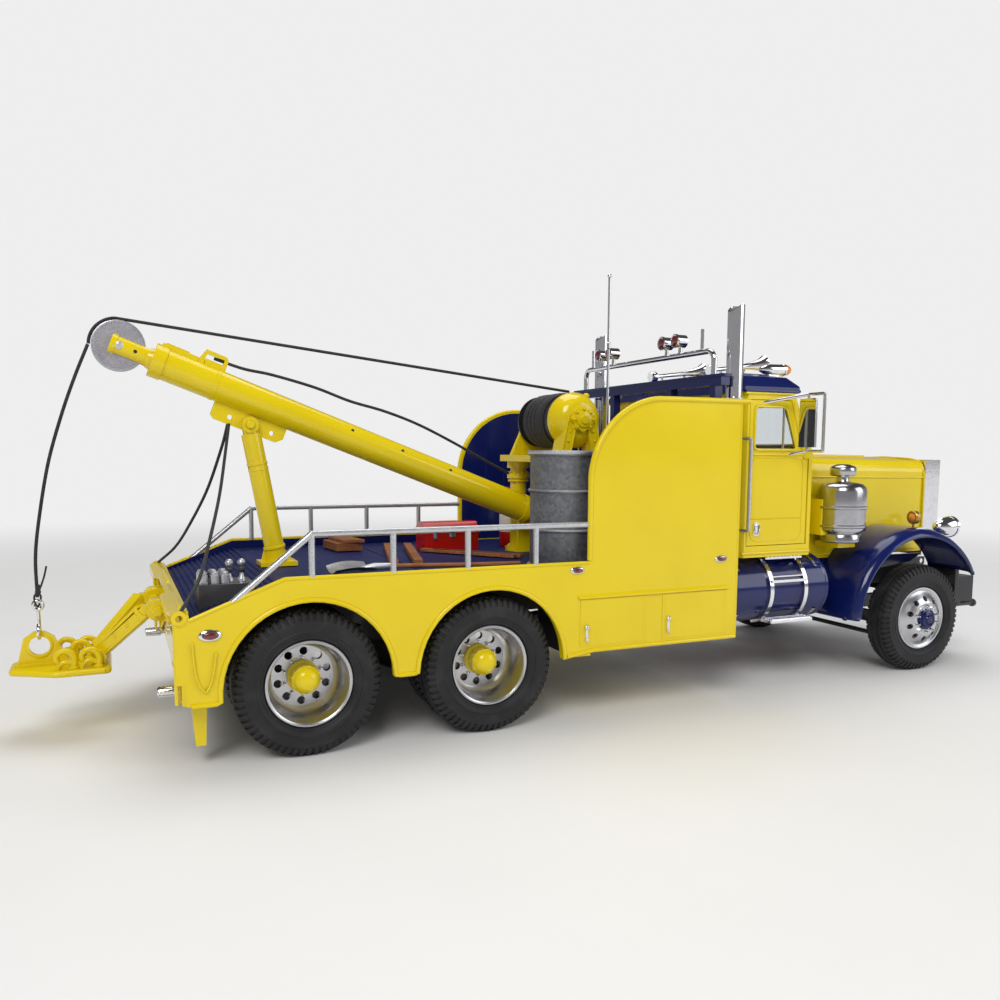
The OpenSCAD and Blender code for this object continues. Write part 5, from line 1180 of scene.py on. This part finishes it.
def hood_gear():
    """Hood beads, grille bars before a black panel of painted shade, fender shells with rolled lips, air cleaners,
    bullet lamps and side lamps.
    """
    x = np.linspace(204.2, 274.6, 24)
    beads = Piece().tube(points(x, -hood_side(x) - 0.02, np.interp(x, [204, 275], [76.9, 76.0])), 0.42, 8,
        up=UP)
    beads.tube(points(x, -hood_side(x) - 0.02, np.full(24, 45.4)), 0.4, 8, up=UP)
    arch = curve([(274.4, -22.4, 46), (274.4, -22.6, 72), (274.4, -21.4, 80.4), (274.4, -17, 83.6),
        (274.4, 0, 84.6)],
                 40)
    beads.tube(arch, 0.45, 8)
    beads.tube(curve([(204, -27.6, 46), (204, -27.7, 74), (204, -26.2, 82), (204, -22, 84.9), (204, 0, 85.8)],
        40),
               0.45, 8)
    beads.both().tube(points(x[:20], 0 * x[:20], np.interp(x[:20], [204, 275], [85.8, 84.7])), 0.5, 8)
    beads.make("hood_beads", "hood", YELLOW, corner=60)
    bars = Piece()
    for y in np.linspace(-17.6, 17.6, 15):
        bars.block((282.3, y - 0.35, 44.8), (283.5, y + 0.35, 80.6))
    for z in (45.4, 80.0):
        bars.block((282.3, -19.4, z - 0.5), (283.9, 19.4, z + 0.5))
    bars.tube(closed(np.column_stack([np.full(28, 283.8), rounded(rect(-21.4, 43.2, 21.4, 82.4),
                                                                  2.4, 7)])), 0.6, 8, up=AHEAD)
    # Black panel in the recess behind the grille bars: painted shade of the recess.
    Piece().block((282.42, -19.3, 45.0), (282.6, 19.3, 80.4)).make("grille_painted_shade", "hood", BLACK)
    bars.make("grille_bars", "hood", CHROME, bevel=0.08)
    skin = [(36.0, 26.6), (36.0, 42), (35.8, 45.4), (35.2, 47.8), (34.2, 49.4), (32.9, 50.0), (32.3, 49.8),
            (32.3, 49.3),
            (33.2, 48.9), (34.0, 47.4), (34.6, 45), (34.8, 42), (34.8, 26.6), (36.0, 26.6)]
    start, end = math.radians(30), math.radians(176.8)
    shell = Piece()
    a = np.linspace(start, end, 72)[:, None]
    r, h = np.array(skin).T
    shell.grid(points(FRONT_X + r * np.cos(a), -h[None, :] + 0 * a, AXLE_Z + r * np.sin(a)))
    for angle in (start, end):
        r2, h2 = np.array([(35.4, 26.6), (35.3, 42), (34.9, 46), (34.0, 48.4), (32.8, 49.6)]).T
        shell.tube(points(FRONT_X + r2 * math.cos(angle), -h2, AXLE_Z + r2 * math.sin(angle)), 0.85, 10)
    shell.slab([(214, 34.4), (264, 40.4), (270.4, 43.6), (214, 43.6)], -26.6, -25.4)
    shell.ball((FRONT_X - 35.3, -44.6, 22.6), (1.1, 1.3, 1.0), 16, 10)
    shell.both().make("fender_shells", "hood", NAVY, corner=40, replaces=["front_fenders"])
    can = [(0, 51.6), (7.2, 51.6), (7.7, 52.0), (7.7, 54.6), (7.2, 55.2), (7.4, 55.6), (8.6, 55.8),
        (9.2, 56.6),
           (9.2, 57.4),
           (9.6, 57.7), (9.6, 58.4), (9.2, 58.7), (9.2, 64.6), (9.65, 64.9), (9.65, 65.7), (9.2, 66.0),
           (9.2, 71.6),
           (8.8, 73.2), (7.6, 74.4), (5.0, 75.0), (2.6, 75.4), (2.3, 76.2), (2.3, 77.2), (4.4, 77.5),
           (4.9, 78.2),
           (4.9, 80.4),
           (4.4, 81.2), (3.0, 81.7), (2.4, 82.0), (0, 82.1)]
    drum = Piece().turned(can, (213.2, -36.5, 0), UP, 64)
    for z in (58.05, 65.3):
        drum.block((203.9, -38.2, z - 0.5), (205.2, -34.8, z + 0.5), 0.2)
    drum.both().make("cleaner_drums", "hood", CAST, corner=40, replaces=["air_cleaners"])
    foot = Piece().slab(rounded([(203.7, -27.2), (203.7, -36.0), (206.6, -36.4), (206.6, -27.0)], 0.5), 54.4,
        68.4,
                        "xy")
    foot.block((205.4, -35.4, 57), (208.4, -30.6, 66), 0.5)
    foot.slab(rounded([(208, -28), (219, -28), (218, -40), (209, -40)], 1.0), 49.6, 51.6, "xy")
    foot.both().make("cleaner_brackets", "hood", YELLOW, bevel=0.3)
    lamp_at = np.array([271, -36, 55.6])
    bullet = Piece().turned([(0, -5.2), (1.2, -4.8), (2.6, -3.2), (3.6, -0.8), (4.1, 1.8), (4.2, 3.6),
        (4.5, 3.8),
                             (4.5, 4.9),
                             (4.2, 5.3), (3.7, 5.3), (3.6, 4.6), (0, 4.4)], lamp_at, AHEAD, 40)
    bullet.tube(np.array([lamp_at + (0, 0, -3), lamp_at + (-0.4, 0, -6), lamp_at + (-0.8, 0, -9)]),
        [1.0, 1.1, 1.8], 14)
    bullet.both().make("bullet_lamps", "hood", CHROME, replaces=["headlights"])
    Piece().turned([(3.7, 4.6), (3.4, 5.4), (2.2, 5.9), (0, 6.1)], lamp_at, AHEAD, 32).both().make(
        "bullet_lenses", "hood", GLASS)
    side_lamp = np.array([246.0, -42.5, 60.8])
    ring = Piece().turned([(1.7, -1.2), (2.3, -1.2), (2.7, -0.8), (2.7, 0.8), (2.3, 1.2), (1.7, 1.2),
        (1.7, 0.9),
                           (0, 0.9),
                           (0, -0.9), (1.7, -0.9), (1.7, -1.2)], side_lamp, AHEAD, 32)
    ring.bar(side_lamp + (0, 0, -2), side_lamp + (0, 0, -4.6), 0.5, 10)
    ring.both().make("side_lamp_rings", "hood", BRASS)
    Piece().turned([(1.75, -1.0), (1.2, -1.5), (0, -1.7), (0, 1.7), (1.2, 1.5), (1.75, 1.0)], side_lamp,
        AHEAD, 24
                   ).both().make("side_lamp_lenses", "hood", AMBER_LENS)


def chassis_gear():
    """Tank caps, straps and steps, bumper pins, a black plate of painted shade under the fender fronts, stack clamps,
    bar lamps, the whip's fittings and the rack's cap.
    """
    tank = np.array([0, -31.85, 35.1])
    steps = Piece()
    a = np.radians(np.linspace(88, 258, 30))
    for x0 in (171.6, 187.8):
        r = np.array([12.4, 13.4, 13.4, 12.4, 12.4])
        h = np.array([0, 0, 1.7, 1.7, 0])
        ring = points(x0 + h[None, :], tank[1] + r[None, :] * np.cos(a)[:, None],
                      tank[2] + r[None, :] * np.sin(a)[:, None])
        steps.grid(ring)
    steps.slab(rounded(rect(171.8, -33, 189.4, -41.6), 0.5), 46.9, 47.7, "xy")
    steps.slab(rounded(rect(173.0, -36.5, 188.2, -43.9), 0.4), 40.4, 40.9, "xy")
    for x in np.linspace(173.4, 187.8, 9):
        steps.block((x - 0.35, -41.2, 47.6), (x + 0.35, -33.6, 48.0))
    steps.slab(rounded(rect(170.6, -41, 190.6, -47), 0.6), 23.8, 24.9, "xy")
    for y in (-42.4, -43.8, -45.2, -46.4):
        steps.block((171.4, y - 0.25, 24.8), (189.8, y + 0.25, 25.3))
    steps.join(beam((172.2, -44.4, 39.0), (189.0, -44.4, 39.0), (0.7, 0.5), (0.7, 0.5)))
    both_rides(steps, "step_frames", CHROME, bevel=0.12, replaces=["tank_steps"])
    caps = Piece().turned([(0, 0.6), (2.2, 0.6), (2.5, 1.0), (2.5, 2.2), (2.0, 2.6), (0.8, 2.8), (0, 2.8)],
                          (180.6, -37.6, 46.6), (0, -0.35, 1), 24)
    for x in (154.4, 199.0):
        caps.turned([(12.1, 0), (12.45, 0.4), (12.45, 1.4), (12.1, 1.8), (12, 1.8), (12, 0), (12.1, 0)],
                    (x, tank[1], tank[2]), AHEAD, 64)
    both_rides(caps, "tank_caps", NAVY)
    strap = Piece()
    for x0 in (158.6, 195.6):
        strap.turned([(12.35, 0), (12.7, 0.1), (12.7, 1.3), (12.35, 1.4)], (x0, tank[1], tank[2]), AHEAD, 64,
                     math.radians(40), math.radians(320))
    both_rides(strap, "tank_straps", CHROME)
    pins = Piece().tube(np.array([(276.2, -38.6, 22.6), (287.4, -38.6, 22.6)]), 1.0, 14)
    pins.ball((288.2, -38.6, 22.6), 1.7, 20, 12)
    pins.block((276.4, -40, 22.2), (279.4, -37.2, 24.4), 0.4)
    # Black plate above the bumper, under the front ends of the fenders: painted shade under the fenders.
    pins.block((273.6, -41.2, 30.4), (276, -20, 38), 0.4)
    both_rides(pins, "bumper_pins_and_shade_plate", BLACK)
    stacks = Piece()
    for z in (56, 104):
        stacks.turned([(2.9, 0), (3.35, 0.15), (3.35, 1.5), (2.9, 1.65)], (*STACK, z), UP, 36)
        stacks.block((147.4, -46.6, z + 0.2), (149.4, -44.2, z + 1.4), 0.3)
    both_rides(stacks, "stack_clamps", CHROME)
    lamps, lenses = Piece(), Piece()
    for y in (-24.5, -16, 22, 30.5):
        spot = (143.3, y, 126.8)
        lamps.turned([(0, 2.6), (0.8, 2.5), (1.6, 2.0), (2.1, 1.0), (2.25, -0.4), (2.25, -1.6), (2.5, -1.8),
                      (2.5, -2.5),
                      (2.2, -2.7), (1.95, -2.6)], spot, AHEAD, 32)
        lamps.tube(np.array([(143.4, y, 122.2), (143.4, y, 124.6)]), [0.8, 0.6], 12)
        lenses.turned([(2.05, -2.45), (1.6, -3.0), (0.9, -3.3), (0, -3.4)], spot, AHEAD, 28)
    lamps.make("bar_lamps", "chassis", CHROME)
    lenses.make("bar_lenses", "chassis", RED_LENS)
    whip = Piece().ball((*WHIP, 144.9), 0.75, 14, 10)
    whip.turned([(0.45, -1.2), (0.75, -0.9), (0.75, 0.9), (0.45, 1.2)], (*WHIP, 122), UP, 14)
    whip.turned([(1.4, 84), (1.5, 84.6), (1.5, 86), (1.1, 86.6), (1.1, 90), (0.8, 91), (0.6, 94)], (*WHIP, 0),
        UP, 20)
    whip.make("whip_fittings", "chassis", CHROME)
    rack = Piece()
    rack.block((141.2, -52, 112.2), (145.6, 52, 113.2), 0.6)
    rack.make("rack_cap", "chassis", NAVY, bevel=0.2)


tail()
tow_gear()
bed_gear()
cab()
hood_gear()
chassis_gear()


# ---------------------------------------------------------------- camera, light and floor

# The lens and the place in millimetres, the shift as a share of the frame, the turn in degrees
camera = placed("camera", bpy.data.cameras.new("camera"))
bpy.context.scene.camera = camera
camera.data.lens = 31.38
camera.data.shift_y = 0.03845
camera.data.clip_start, camera.data.clip_end = 0.01, 50
camera.location = at((-49.35, -294.28, 86.7))
camera.rotation_euler = (math.radians(84.228), math.radians(-0.321), math.radians(-24.084))


def lamp(name, spot, aim, size, power, colour=(1, 1, 1)):
    """Square soft lamp at a spot, turned to its aim, in metres."""
    light = bpy.data.lights.new(name, "AREA")
    light.shape, light.size, light.energy, light.color = "SQUARE", size, power, colour
    made = placed(name, light)
    made.location = spot
    made.rotation_euler = (Vector(aim) - Vector(spot)).to_track_quat("-Z", "Y").to_euler()


lamp("key", (-0.55, -0.75, 0.85), (0, 0, 0.05), 0.5, 6.6, (1, 0.98, 0.95))
lamp("fill", (0.75, -0.65, 0.45), (0, 0, 0.05), 0.6, 2.8, (0.96, 0.98, 1))
lamp("top", (0.1, 0.25, 1.0), (0, 0, 0.05), 0.7, 4.2)

PALE = 0.86
world = bpy.data.worlds.new("studio")
bpy.context.scene.world = world
world.use_nodes = True
sky = world.node_tree
sky.nodes.clear()


def sky_node(kind, values=(), out=0, **settings):
    """One node of the world's tree."""
    return add_node(sky, kind, settings, values, out)


ray = sky.nodes.new("ShaderNodeLightPath").outputs
height = sky_node("SeparateXYZ", [sky_node("TexCoord", out="Generated")], "Z")
ceiling = sky_node("MapRange", {"Value": height, "From Min": 0.12, "From Max": 0.6, "To Min": 0.30,
    "To Max": 0.07},
                   interpolation_type="SMOOTHSTEP")
seen = sky_node("Math", [ray["Is Camera Ray"], ray["Is Transmission Ray"]], operation="MAXIMUM")
glossy = sky_node("Mix", {0: ray["Is Glossy Ray"], 2: 0.40, 3: ceiling})
level = sky_node("Mix", {0: seen, 2: glossy, 3: PALE})
back = sky_node("Background", {"Color": (1, 1, 1, 1), "Strength": level})
final = sky.nodes.new("ShaderNodeOutputWorld")
sky.links.new(back, final.inputs["Surface"])
bpy.context.scene.view_settings.view_transform = "Standard"


# Millimetres: where the floor starts and ends its fade, and its radius; metres: how far it lies below the tyres
FADE, FLOOR_R, FLOOR_DROP = (320, 900), 6000, 0.00002


def floor():
    """Pale round floor: a disc of r (cos t, sin t) that fades into the background colour."""
    f = Finish("floor_paper", Roughness=0.55)
    x, y = f.axis("X"), f.axis("Y")
    far = f.node("Math", {"operation": "SQRT"}, [x * x + y * y]).above(*FADE)
    paper = f.blend(f.grain(30, 3), (0.80, 0.80, 0.80), (0.83, 0.83, 0.83))
    f.wear(paper)
    glow = f.node("Emission", {}, {"Color": (PALE, PALE, PALE, 1), "Strength": 1.0})
    both = f.node("MixShader", {}, {0: far, 1: Shade(f, f.shader.outputs[0]), 2: glow})
    f.tree.links.new(both.socket, f.tree.nodes["Material Output"].inputs["Surface"])
    turn = np.linspace(0, FULL, 64, endpoint=False)[None, :]
    out = np.linspace(0, FLOOR_R, 40)[:, None]
    made = Piece().grid(points(out * np.cos(turn), out * np.sin(turn), 0 * turn), round_v=True)
    mesh = bpy.data.meshes.new("floor")
    p, faces = made.parts[0]
    mesh.from_pydata((p * MM - (0, 0, FLOOR_DROP)).tolist(), [], faces.tolist())
    ground = placed("floor", mesh)
    mesh.materials.append(f.material)


floor()
